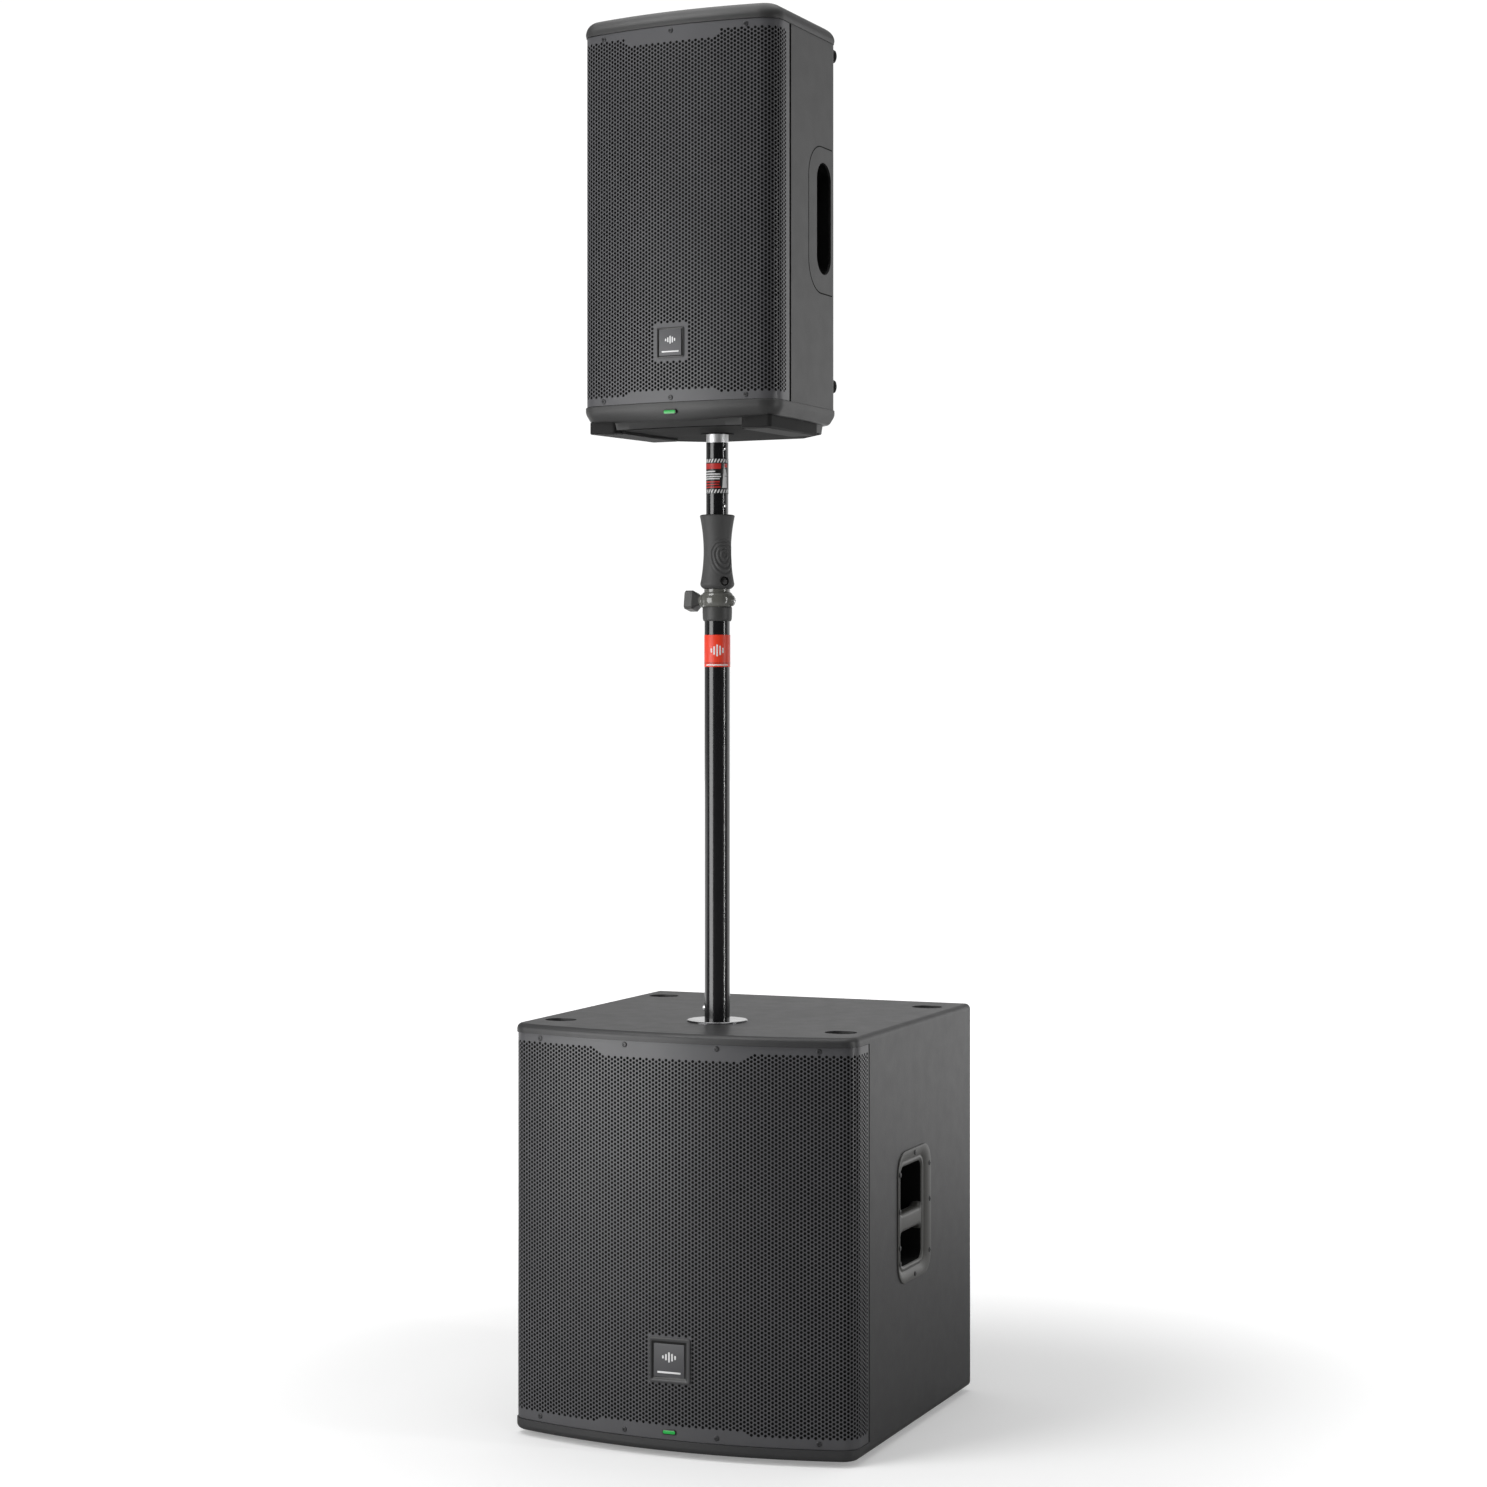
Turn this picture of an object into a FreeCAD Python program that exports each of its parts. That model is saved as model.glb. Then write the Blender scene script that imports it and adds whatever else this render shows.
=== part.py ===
import FreeCAD, Part
import math
import os
import Sketcher

Vector = FreeCAD.Vector
Rotation = FreeCAD.Rotation
Placement = FreeCAD.Placement
X_AXIS = Vector(1, 0, 0)
Y_AXIS = Vector(0, 1, 0)
Z_AXIS = Vector(0, 0, 1)

# A powered loudspeaker on a telescopic pole that screws into a powered subwoofer.
# +Z is up and the grilles face -Y. The origin is on the floor, under the middle of the subwoofer.
# Driving dimensions, in millimetres and degrees.
DIMENSIONS = {
    # subwoofer enclosure
    "foot_height": 8,
    "sub_width": 568,
    "sub_depth": 598,
    "sub_height": 632,
    "sub_bow": 44,
    "side_board": 18,
    "top_board": 14,
    "edge_round": 9,
    "grille_sheet": 1.5,
    "grille_corner": 28,
    "sub_wrap": 59,
    "groove": 3,
    "lip": 3,
    "baffle_setback": 32,
    "foam_sheet": 6,
    # stacking feet and recesses
    "foot_length": 46,
    "foot_breadth": 36,
    "foot_x": 235,
    "foot_front": 70,
    "foot_rear": 470,
    "recess_depth": 6,
    # subwoofer handles
    "handle_front": 187,
    "handle_length": 155,
    "handle_base": 228,
    "handle_tall": 206,
    "handle_corner": 34,
    "handle_proud": 2,
    "cup_front": 13,
    "cup_length": 97,
    "cup_base": 29,
    "cup_tall": 153,
    "cup_depth": 60,
    "cup_wall": 3,
    "cup_corner": 12,
    "bar_base": 80,
    "bar_tall": 30,
    "bar_thick": 20,
    # drivers
    "sub_driver": 232,
    "head_driver": 131,
    "port_radius": 45,
    "port_x": 205,
    "port_z": 236,
    "port_length": 160,
    # badges and status lights
    "sub_badge_side": 69,
    "sub_badge_plate": 56,
    "sub_badge_lift": 138,
    "head_badge_side": 47,
    "head_badge_plate": 41,
    "head_badge_lift": 129,
    "badge_thick": 3,
    "badge_recess": 1,
    "sub_window_lift": 30,
    "head_window_lift": 23,
    "window_thick": 1.5,
    "window_length": 23,
    "window_tall": 8,
    # amplifier plates
    "sub_plate_width": 280,
    "sub_plate_tall": 400,
    "sub_plate_lift": 330,
    "head_plate_width": 150,
    "head_plate_tall": 330,
    "head_plate_lift": 300,
    "plate_thick": 3,
    "plate_rebate": 12,
    "plate_opening": 12,
    "knob_radius": 9,
    "knob_tall": 8.5,
    "socket_hole": 12,
    "socket_mouth": 9.4,
    "inlet_width": 66,
    "inlet_tall": 24,
    "sub_amp_depth": 60,
    "head_amp_depth": 48,
    # pole, heights above the subwoofer's top
    "pole_setback": 145.3,
    "disc_radius": 47.5,
    "disc_thick": 2.5,
    "lower_tube": 20,
    "lower_bore": 18.2,
    "upper_tube": 17.5,
    "upper_bore": 15.8,
    "collar_base": 626,
    "collar_step": 645,
    "collar_top": 673,
    "collar_lip": 676,
    "sleeve_radius": 22.75,
    "clamp_radius": 24.5,
    "clamp_height": 658,
    "grip_base": 676.5,
    "grip_top": 792.4,
    "grip_low_radius": 28.5,
    "grip_high_radius": 27.8,
    "grip_waist_radius": 21.5,
    "grip_edge": 3,
    "stud_top": 30,
    "gas_top": 590,
    "upper_base": 32,
    "upper_top": 905,
    "spigot_radius": 17.4,
    "spigot_top": 1003,
    # top speaker
    "head_lift": 919,
    "head_turn": -5.5,
    "head_width": 341,
    "head_front": 130,
    "head_side": 226,
    "head_taper": 14,
    "head_rear": 160,
    "head_rear_half": 88,
    "head_bow": 20,
    "head_wrap": 54,
    "bottom_cap": 38,
    "top_cap": 25,
    "head_body": 574,
    "cap_overhang": 2,
    "shell_wall": 4,
    "front_round": 24,
    "facet_round": 14,
    "top_round": 16,
    "slot_setback": 157,
    "slot_length": 56,
    "slot_base": 246,
    "slot_tall": 174,
    "slot_cup_depth": 42,
    "horn_width": 270,
    "horn_tall": 190,
    "horn_depth": 92,
    "horn_throat": 30,
    "socket_depth": 80,
    "skid_x": 124,
}


class Size:
    """A length that carries both its value and its spreadsheet expression."""

    def __init__(self, value, text):
        self.value = float(value)
        self.text = text

    def joined(self, other, sign, value):
        return Size(value, f"({self.text} {sign} {as_size(other).text})")

    def __add__(self, other):
        return self.joined(other, "+", self.value + as_size(other).value)

    def __sub__(self, other):
        return self.joined(other, "-", self.value - as_size(other).value)

    def __mul__(self, other):
        return self.joined(other, "*", self.value * as_size(other).value)

    def __truediv__(self, other):
        return self.joined(other, "/", self.value / as_size(other).value)

    def __neg__(self):
        return Size(-self.value, f"(-1 * {self.text})")

    def __radd__(self, other):
        return as_size(other) + self

    def __rsub__(self, other):
        return as_size(other) - self

    def __rmul__(self, other):
        return as_size(other) * self


def as_size(value):
    if isinstance(value, Size):
        return value
    return Size(value, repr(float(value)))


class Sizes:
    """The spreadsheet's aliases as attributes."""


doc = FreeCAD.newDocument("pa_speaker")
sheet = doc.addObject("Spreadsheet::Sheet", "Sizes")
S = Sizes()
for row, (alias, amount) in enumerate(DIMENSIONS.items(), start=1):
    sheet.set(f"A{row}", alias)
    sheet.set(f"B{row}", str(amount))
    sheet.setAlias(f"B{row}", alias)
    setattr(S, alias, Size(amount, f"Sizes.{alias}"))
doc.recompute()

nodes = []


def bind(thing, prop, value):
    """Bind one property to the spreadsheet."""
    thing.setExpression(prop, as_size(value).text)


def new_body(name, keep=True):
    body = doc.addObject("PartDesign::Body", name)
    body.Label = name
    if keep:
        nodes.append(body)
    return body


def new_sketch(body, role, offset=0):
    """A sketch on one of the body's own origin planes, lifted by offset along the plane's normal."""
    sketch = body.newObject("Sketcher::SketchObject", body.Name + "_sketch")
    plane = next(item for item in body.Origin.OriginFeatures if item.Role == role)
    sketch.AttachmentSupport = (plane, [""])
    sketch.MapMode = "FlatFace"
    bind(sketch, "AttachmentOffset.Base.z", offset)
    return sketch


def pin(sketch, geometry, point, x, y):
    """Fix one point of the geometry at x, y from the sketch's origin."""
    for kind, amount in (("DistanceX", as_size(x)), ("DistanceY", as_size(y))):
        index = sketch.addConstraint(Sketcher.Constraint(kind, -1, 1, geometry, point, amount.value))
        sketch.setExpression(f"Constraints[{index}]", amount.text)


def outline(sketch, points):
    """A closed outline through (x, y) points.

    Where an arc leaves a point, the point is (x, y, radius, side). The arc swells to the left of the
    way the outline runs where side is 1, and to the right where it is -1.
    """
    count = len(points)
    corners = [Vector(as_size(p[0]).value, as_size(p[1]).value, 0) for p in points]
    for index, point in enumerate(points):
        start = corners[index]
        end = corners[(index + 1) % count]
        if len(point) == 2:
            geometry = sketch.addGeometry(Part.LineSegment(start, end))
            first, last = 1, 2
        else:
            radius = as_size(point[2])
            chord = end - start
            rise = radius.value - math.sqrt(max(radius.value**2 - (chord.Length / 2) ** 2, 0))
            normal = Vector(-chord.y, chord.x, 0).normalize()
            middle = (start + end) / 2 + normal * (rise * point[3])
            counterclockwise = point[3] < 0
            ends = (start, end) if counterclockwise else (end, start)
            geometry = sketch.addGeometry(Part.Arc(ends[0], middle, ends[1]))
            first, last = (1, 2) if counterclockwise else (2, 1)
            index_radius = sketch.addConstraint(Sketcher.Constraint("Radius", geometry, radius.value))
            sketch.setExpression(f"Constraints[{index_radius}]", radius.text)
        following = points[(index + 1) % count]
        pin(sketch, geometry, first, point[0], point[1])
        pin(sketch, geometry, last, following[0], following[1])


def circle(sketch, x, y, radius):
    radius = as_size(radius)
    centre = Vector(as_size(x).value, as_size(y).value, 0)
    geometry = sketch.addGeometry(Part.Circle(centre, Vector(0, 0, 1), radius.value))
    pin(sketch, geometry, 3, x, y)
    index = sketch.addConstraint(Sketcher.Constraint("Radius", geometry, radius.value))
    sketch.setExpression(f"Constraints[{index}]", radius.text)


def rectangle(sketch, x, y, width, height):
    """A rectangle from its lowest corner."""
    x, y = as_size(x), as_size(y)
    outline(sketch, [(x, y), (x + width, y), (x + width, y + height), (x, y + height)])


def rounded(sketch, x, y, width, height, radius):
    """A rectangle with round corners, from its lowest corner."""
    x, y, radius = as_size(x), as_size(y), as_size(radius)
    right = x + width
    top = y + height
    outline(
        sketch,
        [
            (x + radius, y),
            (right - radius, y, radius, -1),
            (right, y + radius),
            (right, top - radius, radius, -1),
            (right - radius, top),
            (x + radius, top, radius, -1),
            (x, top - radius),
            (x, y + radius, radius, -1),
        ],
    )


def pad(body, sketch, length, backwards=False):
    feature = body.newObject("PartDesign::Pad", body.Name + "_pad")
    feature.Profile = sketch
    feature.Reversed = backwards
    bind(feature, "Length", length)
    doc.recompute()
    return feature


def pocket(body, sketch, length, backwards=False):
    """Cut the sketch out of the body, and make sure that something was cut."""
    before = body.Shape.Volume
    feature = body.newObject("PartDesign::Pocket", body.Name + "_pocket")
    feature.Profile = sketch
    feature.Reversed = backwards
    bind(feature, "Length", length)
    doc.recompute()
    if body.Shape.Volume > before - 0.1:
        raise RuntimeError("nothing was cut from " + body.Name)
    return feature


def fillet(body, radius, wanted):
    """Round the edges that the test function picks."""
    doc.recompute()
    tip = body.Tip
    names = [f"Edge{n}" for n, edge in enumerate(tip.Shape.Edges, start=1) if wanted(edge)]
    feature = body.newObject("PartDesign::Fillet", body.Name + "_fillet")
    feature.Base = (tip, names)
    bind(feature, "Radius", radius)
    doc.recompute()


def hollow(body, wall, wanted):
    """Leave a wall inside the body's surface, open at the faces that the test function picks."""
    doc.recompute()
    tip = body.Tip
    names = [f"Face{n}" for n, face in enumerate(tip.Shape.Faces, start=1) if wanted(face)]
    feature = body.newObject("PartDesign::Thickness", body.Name + "_thickness")
    feature.Base = (tip, names)
    feature.Mode = 0
    feature.Join = 1
    feature.Reversed = True
    bind(feature, "Value", wall)
    doc.recompute()


def revolved(name, profile, keep=True):
    """A body turned about its own Z axis from a profile of (radius, height) points."""
    body = new_body(name, keep)
    sketch = new_sketch(body, "XZ_Plane")
    outline(sketch, profile)
    feature = body.newObject("PartDesign::Revolution", name + "_turn")
    feature.Profile = sketch
    feature.ReferenceAxis = (sketch, ["V_Axis"])
    feature.Angle = 360
    doc.recompute()
    return body


def place(body, x, y, z, turn=None):
    """Stand a body in the row's frame."""
    body.Placement = Placement(Vector(0, 0, 0), turn or Rotation())
    for axis, amount in (("x", x), ("y", y), ("z", z)):
        bind(body, f"Placement.Base.{axis}", amount)


def place_in_head(body, x=0, y=0, z=0, turn=None):
    """Stand a body in the top speaker's frame, which is turned on the pole."""
    local = Placement(Vector(*(as_size(v).value for v in (x, y, z))), turn or Rotation())
    head = Placement(
        Vector(0, pole_y.value, head_z.value), Rotation(Z_AXIS, S.head_turn.value)
    )
    body.Placement = head.multiply(local)


def group(name, items, head=False):
    """One node of separate solids, from pairs of a master body and a placement."""
    doc.recompute()
    shapes = []
    for master, placement in items:
        shape = master.Shape.copy()
        shape.Placement = placement
        shapes.append(shape)
    feature = doc.addObject("Part::Feature", name)
    feature.Label = name
    feature.Shape = Part.makeCompound(shapes)
    nodes.append(feature)
    if head:
        place_in_head(feature)
    return feature


def copies(name, master, placements, head=False):
    """One node of identical solids."""
    return group(name, [(master, placement) for placement in placements], head)


def at(x, y, z, turn=None):
    return Placement(Vector(*(as_size(v).value for v in (x, y, z))), turn or Rotation())


def upright(edge):
    box = edge.BoundBox
    return box.ZLength > 1 and box.XLength < 0.01 and box.YLength < 0.01


def bow_radius(width, bow):
    """Radius of an arc across the width that rises by the bow."""
    width, bow = as_size(width), as_size(bow)
    return (width * width / 4 + bow * bow) / (2 * bow)


# Derived places
front_plane = S.sub_bow - S.sub_depth / 2
rear_plane = S.sub_depth / 2
floor_board = S.foot_height
sub_top = S.foot_height + S.sub_height
half = S.sub_width / 2
inner_half = half - S.side_board
pole_y = front_plane + S.pole_setback
head_z = sub_top + S.head_lift
FACE_FRONT = Rotation(X_AXIS, 90)
FACE_BACK = Rotation(X_AXIS, -90)
ROCKER_TILT = 8
DRIVER_OPENING = 0.92
gap = 0.3
grille_inset = 0.5
film = 0.05


# Subwoofer boards

def bowed_board(name, base, thick, round_top):
    """The top or bottom board, with its bowed front rail."""
    body = new_body(name)
    sketch = new_sketch(body, "XY_Plane", base)
    outline(
        sketch,
        [
            (-half, rear_plane),
            (-half, front_plane, bow_radius(S.sub_width, S.sub_bow), -1),
            (half, front_plane),
            (half, rear_plane),
        ],
    )
    pad(body, sketch, thick)
    front = front_plane.value
    fillet(body, S.grille_corner, lambda e: upright(e) and e.BoundBox.YMax < front + 1)
    fillet(body, S.edge_round, lambda e: upright(e) and e.BoundBox.YMin > front + 100)
    level = (base + thick).value if round_top else base.value
    fillet(
        body,
        S.edge_round,
        lambda e: abs(e.BoundBox.ZMin - level) < 0.01 and abs(e.BoundBox.ZMax - level) < 0.01,
    )
    return body


def foot_places():
    return [
        (side * S.foot_x, front_plane + along)
        for side in (-1, 1)
        for along in (S.foot_front, S.foot_rear)
    ]


top_base = sub_top - S.top_board
top_panel = bowed_board("sub_top_panel", top_base, S.top_board, True)
for foot_x, foot_y in foot_places():
    recess = new_sketch(top_panel, "XY_Plane", sub_top)
    recess_length = S.foot_length + 4
    recess_breadth = S.foot_breadth + 4
    rounded(
        recess,
        foot_x - recess_length / 2,
        foot_y - recess_breadth / 2,
        recess_length,
        recess_breadth,
        recess_breadth / 2 - 1,
    )
    pocket(top_panel, recess, S.recess_depth)
pole_socket_radius = 24
socket_hole = new_sketch(top_panel, "XY_Plane", sub_top)
circle(socket_hole, 0, pole_y, pole_socket_radius + 0.2)
pocket(top_panel, socket_hole, S.top_board)

bowed_board("sub_bottom_panel", floor_board, S.side_board, False)
inside_base = floor_board + S.side_board
inside_tall = top_base - inside_base


def side_panel(name, side):
    """A side board, stepped back at the front for the grille's return."""
    body = new_body(name)
    plan = new_sketch(body, "XY_Plane", inside_base)
    step = half - grille_inset - S.grille_sheet - gap
    front = front_plane + S.baffle_setback
    behind = front_plane + S.sub_wrap + S.groove
    outline(
        plan,
        [
            (side * inner_half, front),
            (side * step, front),
            (side * step, behind),
            (side * half, behind),
            (side * half, rear_plane),
            (side * inner_half, rear_plane),
        ],
    )
    pad(body, plan, inside_tall)
    corner = side * half.value
    fillet(
        body,
        S.edge_round,
        lambda e: upright(e) and abs(e.BoundBox.XMin - corner) < 0.1
        and e.BoundBox.YMin > rear_plane.value - 1,
    )
    cutout = new_sketch(body, "YZ_Plane", side * half)
    slack = S.cup_wall + 1.5
    rectangle(
        cutout,
        front_plane + S.handle_front + S.cup_front - slack,
        floor_board + S.handle_base + S.cup_base - slack,
        S.cup_length + 2 * slack,
        S.cup_tall + 2 * slack,
    )
    pocket(body, cutout, S.side_board + 1, backwards=side < 0)
    return body


side_panel("sub_left_panel", -1)
side_panel("sub_right_panel", 1)

plate_centre = floor_board + S.sub_plate_lift
back_panel = new_body("sub_back_panel")
back_face = new_sketch(back_panel, "XZ_Plane", -rear_plane)
rectangle(back_face, -inner_half, inside_base, inner_half * 2, inside_tall)
pad(back_panel, back_face, S.side_board)
rebate = new_sketch(back_panel, "XZ_Plane", -rear_plane)
rectangle(
    rebate,
    -(S.sub_plate_width / 2) - 1,
    plate_centre - S.sub_plate_tall / 2 - 1,
    S.sub_plate_width + 2,
    S.sub_plate_tall + 2,
)
pocket(back_panel, rebate, S.plate_rebate, backwards=True)
amp_hole = new_sketch(back_panel, "XZ_Plane", -rear_plane)
rectangle(
    amp_hole,
    -(S.sub_plate_width / 2) + S.plate_opening,
    plate_centre - S.sub_plate_tall / 2 + S.plate_opening,
    S.sub_plate_width - 2 * S.plate_opening,
    S.sub_plate_tall - 2 * S.plate_opening,
)
pocket(back_panel, amp_hole, S.side_board + 1, backwards=True)

driver_z = floor_board + S.sub_height / 2
baffle_front = front_plane + S.baffle_setback
baffle = new_body("sub_baffle")
baffle_sketch = new_sketch(baffle, "XZ_Plane", -baffle_front)
rectangle(baffle_sketch, -inner_half, inside_base, inner_half * 2, inside_tall)
circle(baffle_sketch, 0, driver_z, S.sub_driver * DRIVER_OPENING)
port_places = [
    (side_x * S.port_x, driver_z + side_z * S.port_z) for side_x in (-1, 1) for side_z in (-1, 1)
]
for port_x, port_z in port_places:
    circle(baffle_sketch, port_x, port_z, S.port_radius)
pad(baffle, baffle_sketch, S.side_board, backwards=True)


# Grilles, foam and trim

def wrap_grille(name, width, bow, front, wrap, base, tall, taper=0):
    """A steel sheet across the bowed front that returns round both corners."""
    body = new_body(name)
    plan = new_sketch(body, "XY_Plane", base)
    side = as_size(width) / 2
    rear_side = side - taper
    outline(
        plan,
        [
            (-rear_side, front + wrap),
            (-side, front, bow_radius(width, bow), -1),
            (side, front),
            (rear_side, front + wrap),
        ],
    )
    pad(body, plan, tall)
    level = as_size(front).value
    fillet(body, S.grille_corner, lambda e: upright(e) and e.BoundBox.YMax < level + 1)
    rear = as_size(front + wrap).value
    hollow(
        body,
        S.grille_sheet,
        lambda f: f.BoundBox.ZLength < 0.01 or f.BoundBox.YMin > rear - 0.1,
    )
    return body


def foam_sheet(name, width, bow, front, base, tall):
    """Acoustic foam that follows the bow behind the grille."""
    body = new_body(name)
    plan = new_sketch(body, "XY_Plane", base)
    side = as_size(width) / 2
    radius = bow_radius(width, bow)
    outline(
        plan,
        [
            (-side, front + S.foam_sheet),
            (-side, front, radius, -1),
            (side, front),
            (side, front + S.foam_sheet, radius, 1),
        ],
    )
    pad(body, plan, tall)
    return body


grille_base = inside_base + 0.5
grille_tall = inside_tall - 1
grille_front = front_plane + S.lip
wrap_grille(
    "sub_grille",
    S.sub_width - 2 * grille_inset,
    S.sub_bow,
    grille_front,
    S.sub_wrap - S.lip,
    grille_base,
    grille_tall,
)


def foam_behind(name, width, bow, front, base, tall, trim):
    """Foam behind a grille, trimmed at each side, with the same curve as the grille."""
    side = as_size(width) / 2
    foam_side = side - trim
    foam_bow = bow * (foam_side * foam_side) / (side * side)
    foam_front = front - bow + S.grille_sheet + 1.5 + foam_bow
    return foam_sheet(name, foam_side * 2, foam_bow, foam_front, base, tall)


foam_behind(
    "sub_grille_foam", S.sub_width, S.sub_bow, grille_front, grille_base, grille_tall, S.side_board + 12
)


def badge(name, front, z, side, plate):
    """A square frame round a plain plate."""
    body = new_body(name)
    face = new_sketch(body, "XZ_Plane", -front)
    rounded(face, -(side / 2), z - side / 2, side, side, 4)
    pad(body, face, S.badge_thick)
    inner = new_sketch(body, "XZ_Plane", -(front - S.badge_thick))
    rounded(inner, -(plate / 2), z - plate / 2, plate, plate, 2)
    pocket(body, inner, S.badge_recess)
    return body


def status_window(name, front, z):
    """The oblong light window."""
    body = new_body(name)
    face = new_sketch(body, "XZ_Plane", -front)
    rounded(
        face, -(S.window_length / 2), z - S.window_tall / 2, S.window_length, S.window_tall,
        S.window_tall / 2 - 0.5,
    )
    pad(body, face, S.window_thick)
    return body


sub_apex = grille_front - S.sub_bow
badge(
    "sub_badge",
    sub_apex - film,
    floor_board + S.sub_badge_lift,
    S.sub_badge_side,
    S.sub_badge_plate,
)
status_window("sub_status_window", sub_apex - film, floor_board + S.sub_window_lift)


# Subwoofer handles

def side_handle(name, side):
    """A moulded cup in the side board, with a finger bar across its mouth."""
    body = new_body(name)
    face_x = side * half
    flange_y = front_plane + S.handle_front
    flange_z = floor_board + S.handle_base
    cup_y = flange_y + S.cup_front
    cup_z = flange_z + S.cup_base
    inward = side > 0
    flange = new_sketch(body, "YZ_Plane", face_x)
    rounded(flange, flange_y, flange_z, S.handle_length, S.handle_tall, S.handle_corner)
    pad(body, flange, S.handle_proud, backwards=not inward)
    cup = new_sketch(body, "YZ_Plane", face_x)
    rectangle(
        cup,
        cup_y - S.cup_wall,
        cup_z - S.cup_wall,
        S.cup_length + 2 * S.cup_wall,
        S.cup_tall + 2 * S.cup_wall,
    )
    pad(body, cup, S.cup_depth, backwards=inward)
    outer_x = face_x + side * S.handle_proud
    cavity = new_sketch(body, "YZ_Plane", outer_x)
    rounded(cavity, cup_y, cup_z, S.cup_length, S.cup_tall, S.cup_corner)
    pocket(body, cavity, S.cup_depth + S.handle_proud - S.cup_wall, backwards=not inward)
    bar = new_sketch(body, "YZ_Plane", outer_x)
    rectangle(bar, cup_y - 1, flange_z + S.bar_base, S.cup_length + 2, S.bar_tall)
    pad(body, bar, S.bar_thick, backwards=inward)
    return body


side_handle("sub_left_handle", -1)
side_handle("sub_right_handle", 1)

screw = revolved(
    "screw_master", [(0, -10), (2, -10), (2, 0), (4.5, 0), (4.5, 1), (3, 2.2), (0, 2.2)], keep=False
)


def on_bow(x, width, bow, front):
    """The outer surface of a grille at x, and its slope there."""
    radius = bow_radius(width, bow).value
    x = as_size(x).value
    apex = as_size(front - bow).value
    y = apex + radius - math.sqrt(radius * radius - x * x)
    return y, math.degrees(math.asin(x / radius))


def grille_screws(width, bow, front, spots, z_levels):
    """Screws that stand square to the grille's bowed face."""
    found = []
    for z in z_levels:
        for x in spots:
            y, slope = on_bow(x, width, bow, front)
            turn = Rotation(Z_AXIS, slope).multiply(FACE_FRONT)
            found.append(at(x, y, z, turn))
    return found


# Drivers: each is turned about its own Z axis, which points out through the grille.

def basket(name, radius):
    """The driver's pressed frame: a rim on the baffle and a bowl that narrows to the magnet."""
    bowl_top = radius * 0.84
    bowl_bottom = radius * 0.47
    bowl_floor = radius * -0.52
    centre_hole = radius * 0.2
    skin = radius * 0.02
    return revolved(
        name,
        [
            (bowl_top - radius * 0.01, 0.0),
            (radius, 0.0),
            (radius, 7.0),
            (radius * 0.93, 7.0),
            (radius * 0.93, 3.0),
            (bowl_top, 3.0),
            (bowl_bottom, bowl_floor + radius * 0.05),
            (bowl_bottom, bowl_floor),
            (centre_hole, bowl_floor),
            (centre_hole, bowl_floor - skin),
            (bowl_bottom + skin, bowl_floor - skin),
            (bowl_bottom + skin, bowl_floor + radius * 0.05),
            (bowl_top + radius * 0.01, -3.0),
            (bowl_top - radius * 0.01, -3.0),
        ],
    )


def magnet(name, radius):
    """The magnet's stack, with the pole piece standing inside the voice coil."""
    core = radius * 0.155
    gap_outer = radius * 0.195
    ring = radius * 0.45
    gap_floor = radius * -0.72
    rear = radius * -0.78
    bevel = radius * 0.05
    return revolved(
        name,
        [
            (0, radius * -0.4),
            (core, radius * -0.4),
            (core, gap_floor),
            (gap_outer, gap_floor),
            (gap_outer, radius * -0.54),
            (ring, radius * -0.54),
            (ring, radius * -0.74),
            (ring - bevel, rear),
            (0, rear),
        ],
    )


def suspension(name, radius):
    """The half-roll surround at the cone's edge and the pleated spider round the voice coil."""
    roll = radius * 0.05
    roll_inner = radius * 0.82
    roll_outer = radius * 0.91
    lap_inner = radius * 0.812
    lap_outer = radius * 0.925
    seat = 3.0
    skin = 1.5
    shoulder = 1.2
    surround = revolved(
        name + "_surround",
        [
            (lap_inner, seat),
            (roll_inner, seat, roll, 1),
            (roll_outer, seat),
            (lap_outer, seat),
            (lap_outer, seat + skin),
            (roll_outer + shoulder, seat + skin, roll + skin, -1),
            (roll_inner - shoulder, seat + skin),
            (lap_inner, seat + skin),
        ],
        keep=False,
    )
    folds = 8
    inner = radius * 0.195
    pitch = (radius * 0.46 - inner) / folds
    low = radius * -0.5
    fold_tall = 3
    upper_edge = [(inner + pitch * n, low + 1 + fold_tall * (n % 2)) for n in range(folds + 1)]
    lower_edge = [(x, z - 1) for x, z in reversed(upper_edge)]
    spider = revolved(name + "_spider", upper_edge + lower_edge, keep=False)
    return group(name, [(surround, Placement()), (spider, Placement())])


def cone(name, radius):
    """Cone, dust cap and voice coil former in one moving piece."""
    former = radius * 0.185
    former_inner = radius * 0.165
    cap_edge = radius * 0.3
    return revolved(
        name,
        [
            (former_inner, radius * -0.62),
            (former, radius * -0.62),
            (former, radius * -0.36),
            (radius * 0.8, 1.0),
            (radius * 0.8, 3.5),
            (radius * 0.79, 3.5),
            (cap_edge, radius * -0.275, bow_radius(cap_edge * 2, radius * 0.065), -1),
            (0, radius * -0.21),
            (0, radius * -0.222),
            (former_inner, radius * -0.3),
        ],
    )


def driver(prefix, radius, stand):
    """Frame, magnet, suspension and cone of one woofer."""
    stand(basket(prefix + "_woofer_frame", radius))
    stand(magnet(prefix + "_woofer_magnet", radius))
    stand(suspension(prefix + "_woofer_suspension", radius))
    stand(cone(prefix + "_woofer_cone", radius))


driver("sub", S.sub_driver, lambda piece: place(piece, 0, baffle_front, driver_z, FACE_FRONT))
port_bore = S.port_radius - 3
port_lip = S.port_radius + 4
port_master = revolved(
    "port_master",
    [
        (port_bore, -S.port_length),
        (S.port_radius - film, -S.port_length),
        (S.port_radius - film, 0),
        (port_lip, 0),
        (port_lip, 2.5),
        (port_bore, 2.5),
    ],
    keep=False,
)
copies(
    "sub_port_tubes",
    port_master,
    [at(port_x, baffle_front, port_z, FACE_FRONT) for port_x, port_z in port_places],
)


# Feet

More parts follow.
